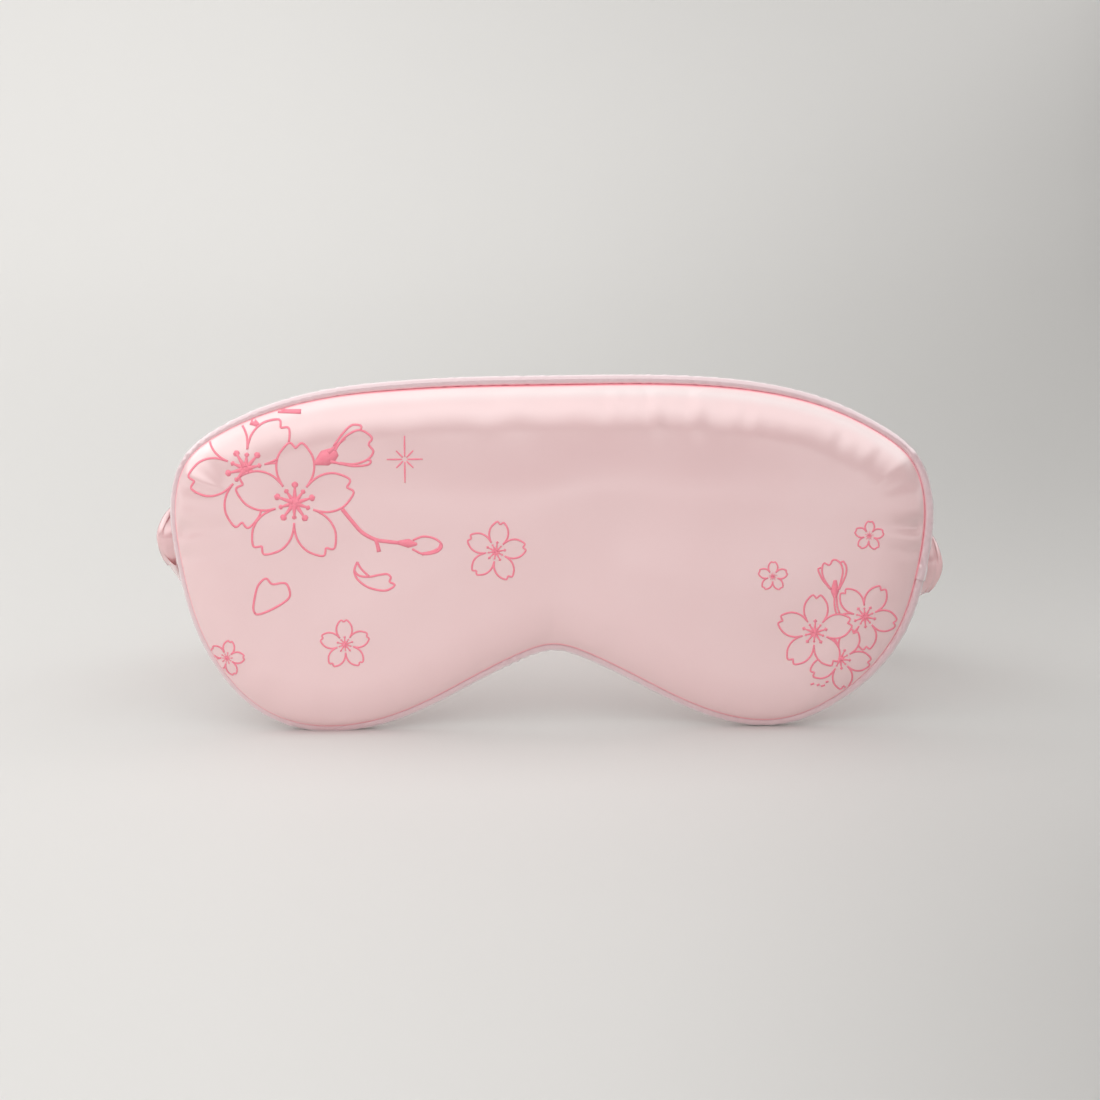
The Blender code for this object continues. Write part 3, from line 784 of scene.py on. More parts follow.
def buildCover(cover, material):
    # rings of stations from the seam inwards, then a grid that fills the middle
    count, rings = cover["stations"], cover["rings"]
    down = int(count * 0.16)
    across = count // 2 - down
    s = (np.arange(count) - across / 2) / count % 1.0
    point, inward = edgeAt(s)
    t = 1 - np.cos(np.linspace(0, math.pi / 2, rings + 1))
    start, low = coverSeam(cover, s)
    depth = start + (cover["shoulder"] + 0.5 * mm) * t[:, None]
    flat = point[None] + inward[None] * depth[..., None]
    height = coverHeight(cover, np.broadcast_to(s, depth.shape), depth, flat[..., 0], flat[..., 1])
    middle = coonsGrid(flat[-1], across, down)[1:-1, 1:-1]
    share, far = nearestEdge(middle[..., 0], middle[..., 1])
    middleHeight = coverHeight(cover, share, far, middle[..., 0], middle[..., 1])
    points = np.vstack([toWorld(flat[..., 0], cover["side"] * height, flat[..., 1]).reshape(-1, 3),
                        toWorld(middle[..., 0], cover["side"] * middleHeight, middle[..., 1]).reshape(-1, 3)])
    quads = gridQuads(rings + 1, count, wrapCols=True)
    # index grid of the middle, bordered by the last ring
    last = np.arange(rings * count, (rings + 1) * count)
    index = np.zeros((down + 1, across + 1), int)
    index[1:-1, 1:-1] = np.arange((down - 1) * (across - 1)).reshape(down - 1, across - 1) + last[-1] + 1
    index[0] = last[: across + 1]
    index[:, -1] = last[across: across + down + 1]
    index[-1] = last[across + down: 2 * across + down + 1][::-1]
    index[1:-1, 0] = last[2 * across + down + 1:][::-1]
    # painted shade and glow: redder in the seam; painted highlight: paler over the upper shoulder, where the
    # top light falls
    rises = np.clip(-inward[:, 1], 0, 1) ** 2
    plain = np.zeros(middle[..., 0].size)
    ditch = np.concatenate([bell(depth - start, 0.36 * mm).ravel() * 0.9, plain])
    pale = np.concatenate([(0.75 * rises * bell(depth - start - 1.9 * mm, 1.5 * mm)).ravel(), plain])
    towards = backward * cover["side"]
    skin = np.vstack([quads, cellQuads(index)])
    piece = addPiece(cover["name"], points, skin, material, towards=towards,
                     attributes=dict(ditch=ditch, pale=pale))
    addThickness(piece, cover["thickness"])
    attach(piece, "mask")
    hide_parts(cover["replaces"])
    return piece


print("puffing the covers")
buildCover(frontCover, frontSatin)
buildCover(backCover, liningSatin)


waddings = (dict(name="frontWadding", cover=frontCover, replaces="front_wadding", seed=5),
            dict(name="rearWadding", cover=backCover, replaces="rear_wadding", seed=6))
waddingShape = dict(gap=0.75 * mm, floor=0.95 * mm, inset=4.4 * mm, rearInset=6.7 * mm, lumps=0.08 * mm)
blackoutSheet = dict(thickness=0.5 * mm, inset=6.4 * mm)


def discRings(inset, share):
    # rings from an inset outline in towards the line between the eyes
    s = np.arange(300) / 300
    point, inward = edgeAt(s)
    outer = point + inward * inset
    spine = np.column_stack([np.clip(outer[:, 0], -60 * mm, 60 * mm), np.full(300, 60 * mm)])
    return outer[None] * (1 - share[:, None, None]) + spine[None] * share[:, None, None]


def buildWadding(settings):
    # the cover's own height less a gap, with a lumpy surface, closed by a flat seam side
    cover = settings["cover"]
    share = np.concatenate([np.linspace(0, 0.25, 10), np.linspace(0.3, 0.93, 16)])
    flat = discRings(waddingShape["inset" if cover["side"] < 0 else "rearInset"], share)
    around, far = nearestEdge(flat[..., 0], flat[..., 1])
    height = coverHeight(cover, around, far, flat[..., 0], flat[..., 1]) - waddingShape["gap"]
    lumps = patches(flat[..., 0], flat[..., 1], 9 * mm, 14, settings["seed"]) * waddingShape["lumps"]
    height = np.maximum(height - 0.15 * mm + lumps, waddingShape["floor"] + 0.05 * mm)
    domed = toWorld(flat[..., 0], cover["side"] * height, flat[..., 1])
    base = toWorld(flat[..., 0], cover["side"] * waddingShape["floor"] + 0 * height, flat[..., 1])
    rings = np.concatenate([base[::-1], domed])
    piece = addTube(settings["name"], rings, waddingFibre)
    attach(piece, "mask")
    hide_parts(settings["replaces"])


def buildBlackout():
    # flat cloth of the mask's outline, inset from the flange
    half = blackoutSheet["thickness"] / 2
    flat = discRings(blackoutSheet["inset"], np.linspace(0, 0.93, 14))
    sides = [toWorld(flat[..., 0], y + 0 * flat[..., 0], flat[..., 1]) for y in (-half, half)]
    piece = addTube("blackoutCloth", np.concatenate([sides[0][::-1], sides[1]]), blackCloth)
    outer = flat[0]
    area = abs(np.sum(outer[:, 0] * np.roll(outer[:, 1], -1) - outer[:, 1] * np.roll(outer[:, 0], -1))) / 2
    size = outer.max(0) - outer.min(0)
    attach(piece, "mask")
    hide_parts("blackout_layer")


print("laying the filling")
for settings in waddings:
    buildWadding(settings)
buildBlackout()


def edgePoints(s, depth, height):
    # points at a depth inwards from the silhouette and a height off the seam's plane
    point, inward = edgeAt(s)
    flat = point + inward * depth[..., None]
    return toWorld(flat[..., 0], height, flat[..., 1])


def buildPipingSleeve():
    # section: outer arc, front ply, slit, back ply, inner arc; the arcs' radius ripples round the
    # edge, more in the nose arch, and widens where the end laps over the start
    settings = pipingShape
    radius, wall, slit = settings["radius"], settings["wall"], settings["slit"]
    share = np.linspace(0, 1 + settings["lapLength"], settings["stations"])
    s = (settings["lapAt"] + share) % 1.0
    over = smoothStep((share - 1 + 0.001) / 0.004)
    opening = math.asin((slit / 2 + wall) / radius)
    outer = np.linspace(opening, 2 * math.pi - opening, settings["arcPoints"])
    innerOpening = math.asin(slit / 2 / (radius - wall))
    inner = np.linspace(2 * math.pi - innerOpening, innerOpening, settings["arcPoints"])
    flangeIn = np.array([0.0, 1.0, 2.0, 3.0])[:, None] / 3 * settings["flange"] + 2 * radius + 0.1 * mm
    crinkle = settings["crinkle"] * bell(s - settings["crinkleAt"], settings["crinkleReach"])
    bias = settings["ripple"] * ripple(s, 60, 190, 22, 3) + crinkle * ripple(s, 150, 230, 12, 4)

    def arc(angles, size):
        slant = settings["slant"] * ripple(s[:, None] + angles[None] * 0.0009, 120, 260, 12, 8)
        grown = size + over[:, None] * (wall + 0.08 * mm) + bias[:, None] + slant
        return radius + grown * np.cos(angles)[None], pipingBack(s)[:, None] - grown * np.sin(angles)[None]

    def ply(height, inwards):
        depth = np.broadcast_to((flangeIn if inwards else flangeIn[::-1])[:, 0], (len(s), 4))
        lift = 1 - smoothStep((depth - 2 * radius) / settings["flange"])
        return depth, height + pipingBack(s)[:, None] * lift + over[:, None] * np.sign(height) * wall

    front, back = -(slit / 2 + wall), slit / 2 + wall
    parts = [ply(front, False), arc(outer, radius), ply(back, True), ply(slit / 2, False),
             arc(inner, radius - wall), ply(-slit / 2, True)]
    depth = np.hstack([part[0] for part in parts])
    height = np.hstack([part[1] for part in parts])
    rings = edgePoints(np.broadcast_to(s[:, None], depth.shape), depth, height)
    run = np.concatenate([[0], np.cumsum(np.hypot(np.diff(depth[0]), np.diff(height[0])))])
    # cut on the bias: the cloth's threads run at 45 degrees to the piping
    along = np.broadcast_to(share[:, None] * edgeLength, depth.shape)
    across = np.broadcast_to(run[None], depth.shape)
    uv = np.stack([along + across, along - across], -1) * math.sqrt(0.5)
    # painted shade and glow: the strip is redder in the ditch; painted highlight: paler over the round's
    # outer edge and beside the ditch
    ditch = bell(depth - 2.9 * mm, 0.32 * mm) * (height < 0) * 0.6
    rim = 0.85 * bell(depth - 0.05 * mm, 0.32 * mm) + 0.45 * bell(depth - 2.25 * mm, 0.25 * mm)
    shades = dict(ditch=np.append(ditch.ravel(), [0, 0]),
                  rim=np.append((rim * (height < 0.8 * mm)).ravel(), [0, 0]))
    piece = addTube("pipingSleeve", rings, pipingSatin, uv=uv, attributes=shades)
    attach(piece, "mask")
    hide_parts("piping_sleeve")


def buildPipingCord():
    # three plies twisted together: a three-lobed section that turns along the cord
    share = np.linspace(0.001, 0.999, 1500)
    s = (pipingShape["lapAt"] + share) % 1.0
    radius, lay = 0.86 * mm, 5.5 * mm
    angle = fullTurn(18)
    turn = share[:, None] * edgeLength / lay * 2 * math.pi
    size = radius * (1 + 0.16 * np.cos(3 * (angle[None] - turn)))
    depth = pipingShape["radius"] + size * np.cos(angle)
    height = pipingBack(s)[:, None] - size * np.sin(angle)
    rings = edgePoints(np.broadcast_to(s[:, None], depth.shape), depth, height)
    uv = uvGrid(share[:, None] * edgeLength, (angle * radius)[None], depth.shape)
    piece = addTube("pipingCord", rings, cordYarn, uv=uv)
    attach(piece, "mask")
    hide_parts("piping_cord")


def beads(starts, ends, across, up, thickness, rows=7, cols=6):
    # one small tapered stitch for each start and end: arrays (stitches, rows, cols, 3)
    t = np.linspace(0, 1, rows)[None, :, None, None]
    angle = fullTurn(cols)[None, None, :, None]
    swell = np.sin(math.pi * (0.06 + 0.88 * t)) ** 0.5 * thickness / 2
    middle = starts[:, None, None] * (1 - t) + ends[:, None, None] * t
    return middle + across[:, None, None] * swell * np.cos(angle) + up[:, None, None] * swell * np.sin(angle)


def addBeads(name, rings, material):
    # all the stitches as one mesh, each with flat ends
    count, rows, cols = rings.shape[:3]
    quads = gridQuads(rows, cols, wrapCols=True)
    ring = np.arange(cols)
    caps = np.array([[0, k + 1, k] for k in range(1, cols - 1)])
    caps = np.vstack([caps, caps[:, ::-1] + (rows - 1) * cols])
    shift = np.arange(count) * rows * cols
    allQuads = (quads[None] + shift[:, None, None]).reshape(-1, 4)
    allCaps = (caps[None] + shift[:, None, None]).reshape(-1, 3)
    length = np.linspace(0, 2.2 * mm, rows)[None, :, None]
    uv = np.stack(np.broadcast_arrays(length, ring[None, None] * 0.1 * mm + 0 * rings[..., 0]), -1)
    a, b, d = rings[0, 2, 0], rings[0, 2, 1], rings[0, 3, 0]
    out = a - rings[0, 2].mean(0)
    if np.dot(np.cross(b - a, d - a), out) < 0:
        allQuads, allCaps = allQuads[:, ::-1], allCaps[:, ::-1]
    mesh = fillMesh(name, rings, allQuads, allCaps)
    addUv(mesh, uv)
    return linkPiece(name, mesh, material)


def buildSeamThread():
    # a run of short stitches inside the strip's fold, all the way round
    settings = dict(pitch=2.4 * mm, length=2.15 * mm, thickness=0.24 * mm, depth=3.35 * mm)
    count = int(edgeLength * 0.985 / settings["pitch"])
    s = (pipingShape["lapAt"] + 0.006 + np.arange(count) * settings["pitch"] / edgeLength) % 1.0
    reach = settings["length"] / edgeLength
    depth = np.full(count, settings["depth"])
    height = pipingBack(s) * 0.85
    starts, ends = edgePoints(s, depth, height), edgePoints((s + reach) % 1.0, depth, height)
    run = unit(ends - starts)
    up = np.broadcast_to(backward, run.shape)
    piece = addBeads("seamThread", beads(starts, ends, np.cross(run, up), up, settings["thickness"]),
                     seamYarn)
    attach(piece, "mask")
    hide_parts("seam_thread")


print("folding the piping")
buildPipingSleeve()
buildPipingCord()
buildSeamThread()


strapShape = dict(
    loopDepth=112.0 * mm,
    lineX=107.4 * mm,
    width=17.6 * mm,
    thickness=4.6 * mm,
    endAngle=0.27,
    flatEnd=0.28,
    backShare=1 / 3,
    rootShift=dict(left=5.2 * mm, right=-4.2 * mm),
    outShift=dict(left=0.9 * mm, right=-0.7 * mm),
    curl=dict(left=3.1 * mm, right=1.9 * mm),
    ridge=2.2 * mm,
    ridgeAt=0.265,
    sides=64,
    elasticWidth=14.5 * mm,
    elasticThickness=1.1 * mm,
)
strapLow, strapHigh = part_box("strap_sleeve_back")
droop = math.asin((strapRoot[2] - (strapLow[2] + strapHigh[2]) / 2) / (strapShape["loopDepth"] * 0.93))
loopBack = np.array([0, math.cos(droop), -math.sin(droop)])
loopUp = np.array([0, math.sin(droop), math.cos(droop)])


def strapLine(side, angle):
    # half-ellipse loop from a root at angle 0 round to the middle of the back at a right angle
    sign = -1 if side == "left" else 1
    settle = np.exp(-angle / 0.35)
    x = strapShape["lineX"] * np.cos(angle) + strapShape["outShift"][side] * settle
    back = strapShape["loopDepth"] * np.sin(angle)
    lift = strapShape["rootShift"][side] * settle
    outward = np.column_stack([sign * strapShape["loopDepth"] * np.cos(angle), 0 * angle, 0 * angle])
    outward = outward + loopBack * (strapShape["lineX"] * np.sin(angle))[:, None]
    middle = strapRoot + np.column_stack([sign * x, 0 * x, 0 * x])
    middle = middle + loopBack * back[:, None] + loopUp * lift[:, None]
    return middle, unit(outward), np.broadcast_to(loopUp, middle.shape)


def sleeveSection(along, angle, thickness, gather):
    # lens section with lengthwise pleats, ruched across by ripples that fade to the edges
    across, up = np.cos(angle), np.sin(angle)
    lens = np.sign(across) * np.abs(across) ** 1.25
    pleat = (0.12 * mm + 0.18 * mm * gather) * np.cos(up * 7.0 + 0.8) * np.abs(across)
    pleat = pleat + 0.18 * mm * gather * np.cos(up * 23.0 + 2.1 + along * 60) * np.abs(across)
    slip = 2.2 * np.sin(along * 310) + up * (1.6 + 1.2 * np.sin(along * 170))
    ruche = np.cos(along * 2 * math.pi / (3.6 * mm) + slip)
    fine = np.cos(along * 2 * math.pi / (1.9 * mm) - up * 3.1 + 1.7 * np.sin(along * 520))
    swell = gather * (0.26 * mm * ruche + 0.10 * mm * fine)
    out = lens * thickness / 2 + np.sign(across) * (pleat + swell) * np.abs(across) ** 0.5
    tall = strapShape["width"] / 2 * np.sign(up) * np.abs(up) ** 0.9 + gather * 0.25 * mm * ruche * up
    return out, tall


def sleeveRings(middle, outward, upDirection, along, gather, thickness):
    # the sleeve's section at every station, and its uv map
    angle = fullTurn(strapShape["sides"])[None]
    out, tall = sleeveSection(along[:, None], angle, thickness[:, None], gather[:, None])
    rings = middle[:, None] + outward[:, None] * out[..., None] + upDirection[:, None] * tall[..., None]
    return rings, uvGrid(along[:, None], angle * strapShape["width"] / math.pi, out.shape)


endAngle = strapShape["endAngle"]
backAngle = math.pi / 2 * (1 - strapShape["backShare"])


def buildStrapEnd(side):
    # from between the layers of the side seam, out behind the piping, then round a small bend
    # to the start of the loop; thin where it is sewn in, full after the bend
    sign = -1 if side == "left" else 1
    lift = strapShape["rootShift"][side]
    outX = strapShape["lineX"] + strapShape["outShift"][side]
    height = (strapRoot[2] - maskOrigin[2]) / upward[2] + lift
    seam = [(98.2 * mm, 1.5 * mm), (100.6 * mm, 1.9 * mm), (103.0 * mm, 3.0 * mm), (104.8 * mm, 3.8 * mm),
            (outX - 1.3 * mm, 4.6 * mm), (outX - 0.4 * mm, 6.2 * mm)]
    inside = toWorld(*np.array([(sign * x, y, height - 0.10 * i * mm) for i, (x, y) in enumerate(seam)]).T)
    loop = strapLine(side, np.array([0.095, 0.14, 0.2, endAngle]))[0]
    middle = openSpline(np.vstack([inside, loop]), 120)
    run = unit(np.gradient(middle, axis=0))
    length = runLength(middle)
    share, along = length / length[-1], length - length[-1]
    tip = smoothStep(share * 1.5)[:, None]
    outward = unit(np.cross(run, upward[None] * (1 - tip) + loopUp[None] * tip) * sign)
    if np.dot(outward[-1], [sign, 0, 0]) < 0:
        outward = -outward
    up = unit(np.cross(outward, run) * sign)
    up *= np.sign(up[:, 2:3])
    full = smoothStep((share - 0.12) / 0.3)
    thickness = strapShape["thickness"] * (strapShape["flatEnd"] + (1 - strapShape["flatEnd"]) * full)
    gather = smoothStep((share - 0.5) / 0.5)
    rings, uv = sleeveRings(middle, outward, up, along, gather, thickness)
    # the top and bottom edges curl inwards where the strap turns back, and the turn stands
    # forward in a ridge that is a sharp peak along the path
    tall = ((rings - middle[:, None]) * up[:, None]).sum(-1) / (strapShape["width"] / 2)
    turn = (smoothStep((share - 0.10) / 0.12) * (1 - smoothStep((share - 0.35) / 0.65)))[:, None]
    outside = smoothStep(((rings - middle[:, None]) * outward[:, None]).sum(-1) / (0.8 * mm))
    past = np.abs(share[:, None] - strapShape["ridgeAt"] + 0.02 * sign * tall)
    ridge = strapShape["ridge"] * np.exp(-past / 0.045) * (1 - tall ** 2) * outside
    rings = rings - outward[:, None] * (strapShape["curl"][side] * tall ** 2 * turn)[..., None]
    rings = rings + np.array([0.25 * sign, -1.0, 0.0]) * ridge[..., None]
    name = "strapEnd" + side.capitalize()
    piece = addTube(name, rings, strapSatin, uv=uv)
    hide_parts("strap_end_" + side)
    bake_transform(piece)


def buildStrapRun(name, side, first, last, replaces, count=420):
    # fully gathered sleeve between two angles of the loop
    middle, outward, up = strapLine(side, np.linspace(first, last, count))
    thickness = np.full(count, strapShape["thickness"])
    rings, uv = sleeveRings(middle, outward, up, runLength(middle), np.ones(count), thickness)
    piece = addTube(name, rings, strapSatin, uv=uv)
    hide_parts(replaces)
    return piece


def buildElastic(name, side, first, last, replaces, count=200):
    # flat band with fine ribs across, a rounded rectangle in section
    middle, outward, up = strapLine(side, np.linspace(first, last, count))
    angle = fullTurn(28)[None]
    along = runLength(middle)[:, None]
    rib = 1 + 0.10 * np.cos(along * 2 * math.pi / (1.2 * mm))
    out = strapShape["elasticThickness"] / 2 * np.clip(1.6 * np.cos(angle), -1, 1) * rib
    tall = strapShape["elasticWidth"] / 2 * np.clip(1.15 * np.sin(angle), -1, 1) + 0 * along
    rings = middle[:, None] + outward[:, None] * out[..., None] + up[:, None] * tall[..., None]
    piece = addTube(name, rings, elasticWeave, uv=uvGrid(along, tall, out.shape))
    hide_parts(replaces)
    return piece


def buildBarTack(side):
    # zigzag of stitches across the strap's sewn end
    sign = -1 if side == "left" else 1
    height = (strapRoot[2] - maskOrigin[2]) / upward[2]
    z = height + np.linspace(-7.6, 7.6, 20) * mm
    x = np.where(np.arange(20) % 2, 98.2 * mm, 99.3 * mm) * sign
    corners = toWorld(x, 1.3 * mm + 0 * x, z)
    run = unit(np.diff(corners, axis=0))
    up = np.broadcast_to(backward, run.shape)
    rings = beads(corners[:-1], corners[1:], np.cross(run, up), up, 0.3 * mm)
    piece = addBeads("barTack" + side.capitalize(), rings, seamYarn)
    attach(piece, "mask")
    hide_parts("bar_tack_" + side)


print("gathering the strap")
for side in ("left", "right"):
    label = side.capitalize()
    buildStrapEnd(side)
    # the elastic begins a little way inside the sleeve
    sleeve = buildStrapRun("strapSleeve" + label, side, endAngle, backAngle, "strap_sleeve_" + side)
    elastic = buildElastic("strapElastic" + label, side, endAngle + 0.015, backAngle, "strap_elastic_" + side)
    for made in (sleeve, elastic):
        start, far = strapLine(side, np.array([endAngle, backAngle]))[0]
        end = start + np.array([0.0, far[1] - start[1], 0.0])
        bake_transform(made)
    buildBarTack(side)
for side in ("left", "right"):
    label = side.capitalize()
    piece = buildStrapRun("strapBack" + label, side, backAngle, math.pi / 2, "strap_sleeve_back", 260)
    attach(piece, "strap_back")
    piece = buildElastic("elasticBack" + label, side, backAngle, math.pi / 2, "strap_elastic_back", 120)
    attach(piece, "strap_back")


printStyle = dict(
    line=0.60 * mm,
    lift=0.045 * mm,
    film=0.015 * mm,
    spacing=0.45 * mm,
    # one petal from narrow base to notched tip: (along its axis, across), as shares of its length
    petal=[(0.262, 0.192), (0.36, 0.250), (0.48, 0.298), (0.62, 0.312), (0.76, 0.285), (0.87, 0.222),
           (0.95, 0.155), (0.985, 0.105), (0.975, 0.070)],
    notch=0.895,
)
# middle (x, z) and size in mm, turn of the first petal in degrees, line weight; later ones lie behind
blossoms = [dict(zip(("at", "size", "turn", "line"), row)) for row in (
    ((-70.3, 63.8), 16.6, 88.0, 1.0),
    ((-83.5, 73.2), 16.3, 49.0, 1.0),
    ((71.5, 26.8), 10.5, 87.0, 0.85),
    ((78.6, 19.3), 8.9, 63.0, 0.85),
    ((85.3, 31.0), 9.4, 58.0, 0.85),
    ((-15.6, 50.0), 8.3, 80.0, 0.85),
    ((-57.2, 24.8), 6.9, 92.0, 0.8),
    ((-90.1, 21.0), 5.1, 76.0, 0.8),
    ((60.0, 42.4), 4.1, 88.0, 0.75),
    ((86.4, 53.2), 4.1, 86.0, 0.75),
)]


def petalOutline(samples=60):
    # one side from the base to the tip, a straight cut to the notch, and the mirror image back
    side = openSpline(printStyle["petal"], samples)
    cut = np.array([printStyle["notch"], 0.0])
    across = side[-1] * (1 - np.linspace(0, 1, 8)[1:, None]) + cut * np.linspace(0, 1, 8)[1:, None]
    half = np.vstack([side, across])
    return np.vstack([half, half[-2::-1] * (1, -1)])


def turned(points, degrees, size, middle):
    # points of a drawing of size 1, turned, made full size and moved to a middle
    turn = math.radians(degrees)
    spin = np.array([[math.cos(turn), math.sin(turn)], [-math.sin(turn), math.cos(turn)]])
    return points @ spin * size + np.array(middle)


def insideBlossom(points, blossom):
    # true inside any petal, or inside the small middle
    local = (points - np.array(blossom["at"]) * mm) / (blossom["size"] * mm)
    turn = np.degrees(np.arctan2(local[:, 1], local[:, 0])) - blossom["turn"]
    turn = np.radians((turn + 36) % 72 - 36)
    far = np.hypot(local[:, 0], local[:, 1])
    u, v = far * np.cos(turn), np.abs(far * np.sin(turn))
    outline = np.array(printStyle["petal"][:-1])
    wide = np.interp(u, outline[:, 0], outline[:, 1], left=0.19, right=0)
    tip = printStyle["notch"] + v * (0.985 - printStyle["notch"]) / 0.09
    return (v < wide) & (u < np.where(v < 0.09, tip, 1)) | (far < 0.28)


strokes = []
# width of a round dot drawn as a stroke of nine points
roundWidth = np.sqrt(np.clip(1 - np.linspace(-1, 1, 9) ** 2, 0, 1))


def addStroke(points, width, hiddenBy=(), closed=False):
    # a line of ink: its points evenly spaced, cut where blossoms in front or the seam hide it
    points = np.asarray(points, float)
    if closed:
        points = np.vstack([points, points[:1]])
    width = np.broadcast_to(width, len(points)).astype(float)
    along = runLength(points)
    count = max(3, int(along[-1] / printStyle["spacing"]) + 1)
    at = np.linspace(0, along[-1], count)
    fine = np.column_stack([np.interp(at, along, points[:, i]) for i in (0, 1)])
    wide = np.interp(at, along, width)
    share, far = nearestEdge(fine[:, 0], fine[:, 1])
    seen = far > seamInset(share) + 0.35 * mm
    for blossom in hiddenBy:
        seen &= ~insideBlossom(fine, blossom)
    breaks = np.flatnonzero(np.diff(seen.astype(int))) + 1
    for part in np.split(np.arange(count), breaks):
        if seen[part[0]] and len(part) > 2:
            strokes.append((fine[part], wide[part]))


def drawBlossom(blossom, hiddenBy):
    # five petals, a long and a short stamen to each with round ends, and a round heart
    size, middle = blossom["size"] * mm, np.array(blossom["at"]) * mm
    line = printStyle["line"] * blossom["line"]
    for step in range(5):
        turn = blossom["turn"] + 72 * step
        addStroke(turned(petalOutline(), turn, size, middle), line, hiddenBy)
        for offset, reach, knob in ((0, 0.30, 0.056), (36, 0.235, 0.042)):
            if blossom["size"] < 5:
                reach, knob = reach * 0.95, 0.03
            tip = turned(np.array([[0.03, 0.0], [reach, 0.0]]), turn + offset, size, middle)
            stalk = tip[0] + (tip[1] - tip[0]) * np.linspace(0, 1, 6)[:, None]
            addStroke(stalk, np.linspace(0.080, 0.030, 6) * size, hiddenBy)
            ends = turned(np.array([[reach - knob, 0.0], [reach + knob, 0.0]]), turn + offset, size, middle)
            dot = ends[0] + (ends[1] - ends[0]) * np.linspace(0, 1, 9)[:, None]
            addStroke(dot, roundWidth * 2 * knob * size + 1e-6, hiddenBy)
    heart = middle + np.column_stack([np.linspace(-1, 1, 9) * 0.085 * size, np.zeros(9)])
    addStroke(heart, roundWidth * 0.17 * size + 1e-6, hiddenBy)


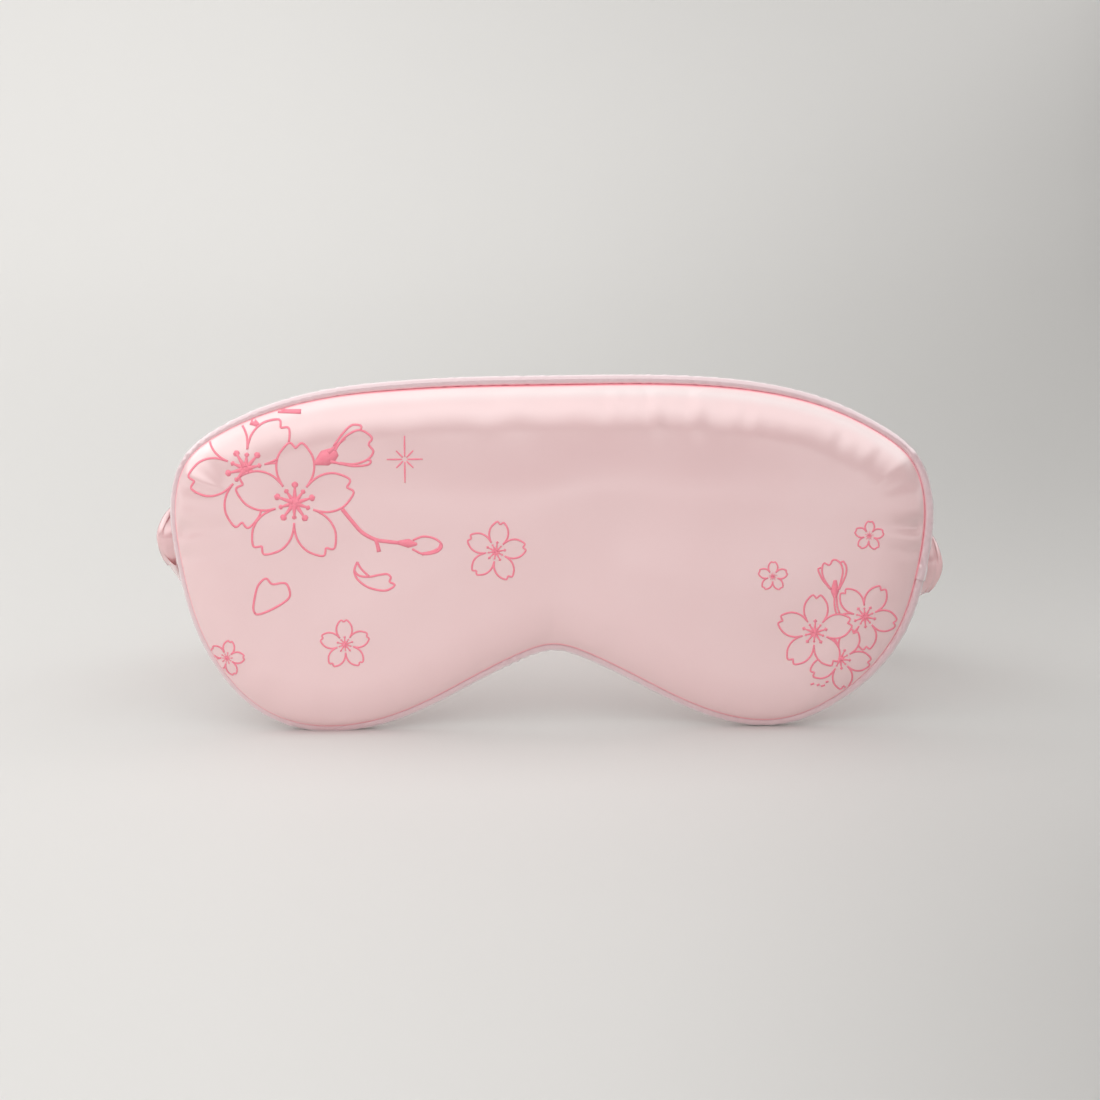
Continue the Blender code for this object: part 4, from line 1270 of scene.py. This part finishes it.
def drawSprigs():
    # buds, twigs, loose petals and a small star, as curves of a few given points in mm
    front, back, main, low, right = blossoms[:5]
    line, samples = printStyle["line"], 60

    def curve(points, width, hidden=()):
        addStroke(openSpline(np.array(points) * mm, samples), width, hidden)

    def taper(first, last):
        return np.linspace(first, last, samples) * mm

    def swell(places, widths):
        return np.interp(np.linspace(0, 1, samples), places, widths) * mm

    # branch from the front blossom to a closed bud
    curve([(-57.6, 62.4), (-54.9, 58.9), (-52.0, 55.6), (-48.4, 53.6), (-45.0, 53.0), (-41.6, 52.6)],
          taper(1.1, 1.0), (front,))
    curve([(-48.4, 53.6), (-47.9, 52.2), (-47.5, 50.2)], taper(0.9, 1.15))
    curve([(-42.2, 52.7), (-39.6, 52.5), (-37.0, 52.2)], swell([0, 0.55, 1], [1.1, 2.5, 0.6]))
    curve([(-38.2, 53.3), (-35.4, 54.3), (-32.2, 53.7), (-30.3, 51.9), (-31.6, 50.1), (-35.3, 49.5),
           (-38.4, 50.9)], line)
    curve([(-35.8, 49.5), (-33.4, 49.9), (-31.2, 50.9), (-30.5, 52.2)], line * 1.5)
    # opening bud over the front blossom
    curve([(-64.6, 74.4), (-61.9, 75.9), (-58.4, 77.4)], swell([0, 0.45, 0.8, 1], [0.9, 4.5, 3.8, 1.6]))
    curve([(-60.9, 77.4), (-58.3, 79.6), (-56.2, 81.2)], taper(1.1, 0.5))
    curve([(-60.4, 75.0), (-58.6, 74.6), (-57.3, 74.1)], taper(1.0, 0.5))
    curve([(-59.2, 77.8), (-56.6, 81.4), (-53.0, 83.4), (-50.7, 82.9), (-48.9, 81.2), (-49.9, 79.6),
           (-48.6, 77.6), (-50.3, 75.4), (-54.1, 74.2), (-57.8, 74.6)], line)
    curve([(-59.4, 79.2), (-56.9, 82.6), (-54.4, 84.8), (-51.9, 84.6), (-52.1, 83.4)], line)
    curve([(-58.2, 74.5), (-54.0, 73.7), (-50.3, 74.0), (-49.3, 75.0), (-50.3, 75.6)], line)
    # curled petal and heart-shaped petal
    curve([(-53.5, 47.5), (-54.3, 45.2), (-53.6, 42.9), (-50.7, 40.6), (-46.8, 39.6), (-44.6, 40.0),
           (-43.3, 41.2), (-44.8, 42.0), (-44.3, 43.1), (-45.3, 44.1), (-47.6, 43.9), (-50.3, 43.4),
           (-52.9, 43.7), (-54.2, 44.9)], line)
    curve([(-53.5, 47.5), (-52.4, 45.6), (-50.3, 43.5)], line)
    curve([(-81.7, 33.5), (-82.2, 35.0), (-81.5, 39.0), (-80.5, 41.6), (-78.5, 43.2), (-76.9, 41.6),
           (-74.3, 41.9), (-72.8, 41.5), (-72.0, 38.9), (-72.9, 37.2), (-76.2, 35.1), (-79.6, 33.6),
           (-81.4, 33.3), (-81.8, 33.8)], line)
    # twig and leaf cut off by the seam
    curve([(-84.5, 87.8), (-80.0, 88.6), (-74.0, 88.7), (-68.4, 88.6)], taper(0.5, 1.3), (back,))
    curve([(-73.6, 88.8), (-71.6, 90.2), (-69.6, 91.8)], taper(0.5, 1.2))
    curve([(-84.6, 86.6), (-82.0, 86.0), (-79.4, 84.5)], swell([0, 0.5, 1], [2.2, 2.0, 0.8]), (back,))
    # bud over the right-hand blossoms
    hidden = (main, low, right)
    curve([(77.9, 30.6), (77.0, 33.6), (76.9, 36.6)], line * 0.85, hidden)
    curve([(78.9, 30.8), (77.8, 33.6), (77.5, 36.6)], line * 0.85, hidden)
    curve([(77.1, 36.3), (77.0, 38.4), (77.1, 41.2)], swell([0, 0.4, 1], [1.0, 2.3, 0.9]))
    curve([(76.0, 38.6), (73.9, 41.8), (73.5, 44.4), (74.1, 45.9), (75.5, 45.3), (76.6, 46.8),
           (78.4, 46.0), (79.2, 43.6), (78.6, 40.6), (77.9, 38.4)], line * 0.85)
    curve([(75.8, 38.7), (73.6, 41.4), (72.4, 44.2), (73.2, 44.6)], line * 0.85)
    curve([(78.2, 38.6), (79.8, 42.0), (80.2, 44.6), (79.3, 46.3), (78.6, 45.9)], line * 0.85)
    # four seeds
    for x, z, size in ((71.0, 12.4, 1.0), (72.6, 12.1, 0.8), (74.0, 11.8, 1.1), (75.1, 12.9, 0.8)):
        curve([(x - size / 2, z - 0.15), (x, z), (x + size / 2, z + 0.15)], 0.55 * mm)
    # star of eight rays, the slanting ones shorter
    for turn, reach in zip((90, 270, 0, 180, 45, 135, 225, 315), (6.4, 6.4, 4.9, 4.9, 3.3, 3.3, 3.3, 3.3)):
        ray = turned(np.linspace((0.7, 0.0), (reach, 0.0), 12), turn, mm, (-40.1 * mm, 75.4 * mm))
        addStroke(ray, np.interp(np.linspace(0, 1, 12), [0, 0.4, 1], [0.35, 0.5, 0.35]) * mm)


def buildPrint():
    # each line becomes a ribbon three points wide that follows the cover's own height
    for i, blossom in enumerate(blossoms):
        drawBlossom(blossom, blossoms[:i] if i in (1, 3, 4) else ())
    drawSprigs()
    flats, quads, first = [], [], 0
    for points, width in strokes:
        run = np.gradient(points, axis=0)
        run /= np.maximum(np.linalg.norm(run, axis=1), 1e-9)[:, None]
        side = np.column_stack([-run[:, 1], run[:, 0]])
        steps = np.array([-0.5, 0.0, 0.5])[None, :, None]
        flats.append((points[:, None] + side[:, None] * steps * width[:, None, None]).reshape(-1, 2))
        quads.append(gridQuads(len(points), 3) + first)
        first += len(points) * 3
    flat, quads = np.vstack(flats), np.vstack(quads)
    share, far = nearestEdge(flat[:, 0], flat[:, 1])
    # lines laid later sit a hair higher, so that crossings don't fight
    layer = np.repeat(np.arange(len(strokes)) % 7, [len(p) * 3 for p, _ in strokes]) * 0.002 * mm
    height = coverHeight(frontCover, share, far, flat[:, 0], flat[:, 1]) + printStyle["lift"] + layer
    points = toWorld(flat[:, 0], -height, flat[:, 1])
    piece = addPiece("blossomPrint", points, quads, printInk, towards=-backward)
    addThickness(piece, printStyle["film"], offset=1.0)
    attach(piece, "mask")


print("printing the blossoms")
buildPrint()

print("finished")
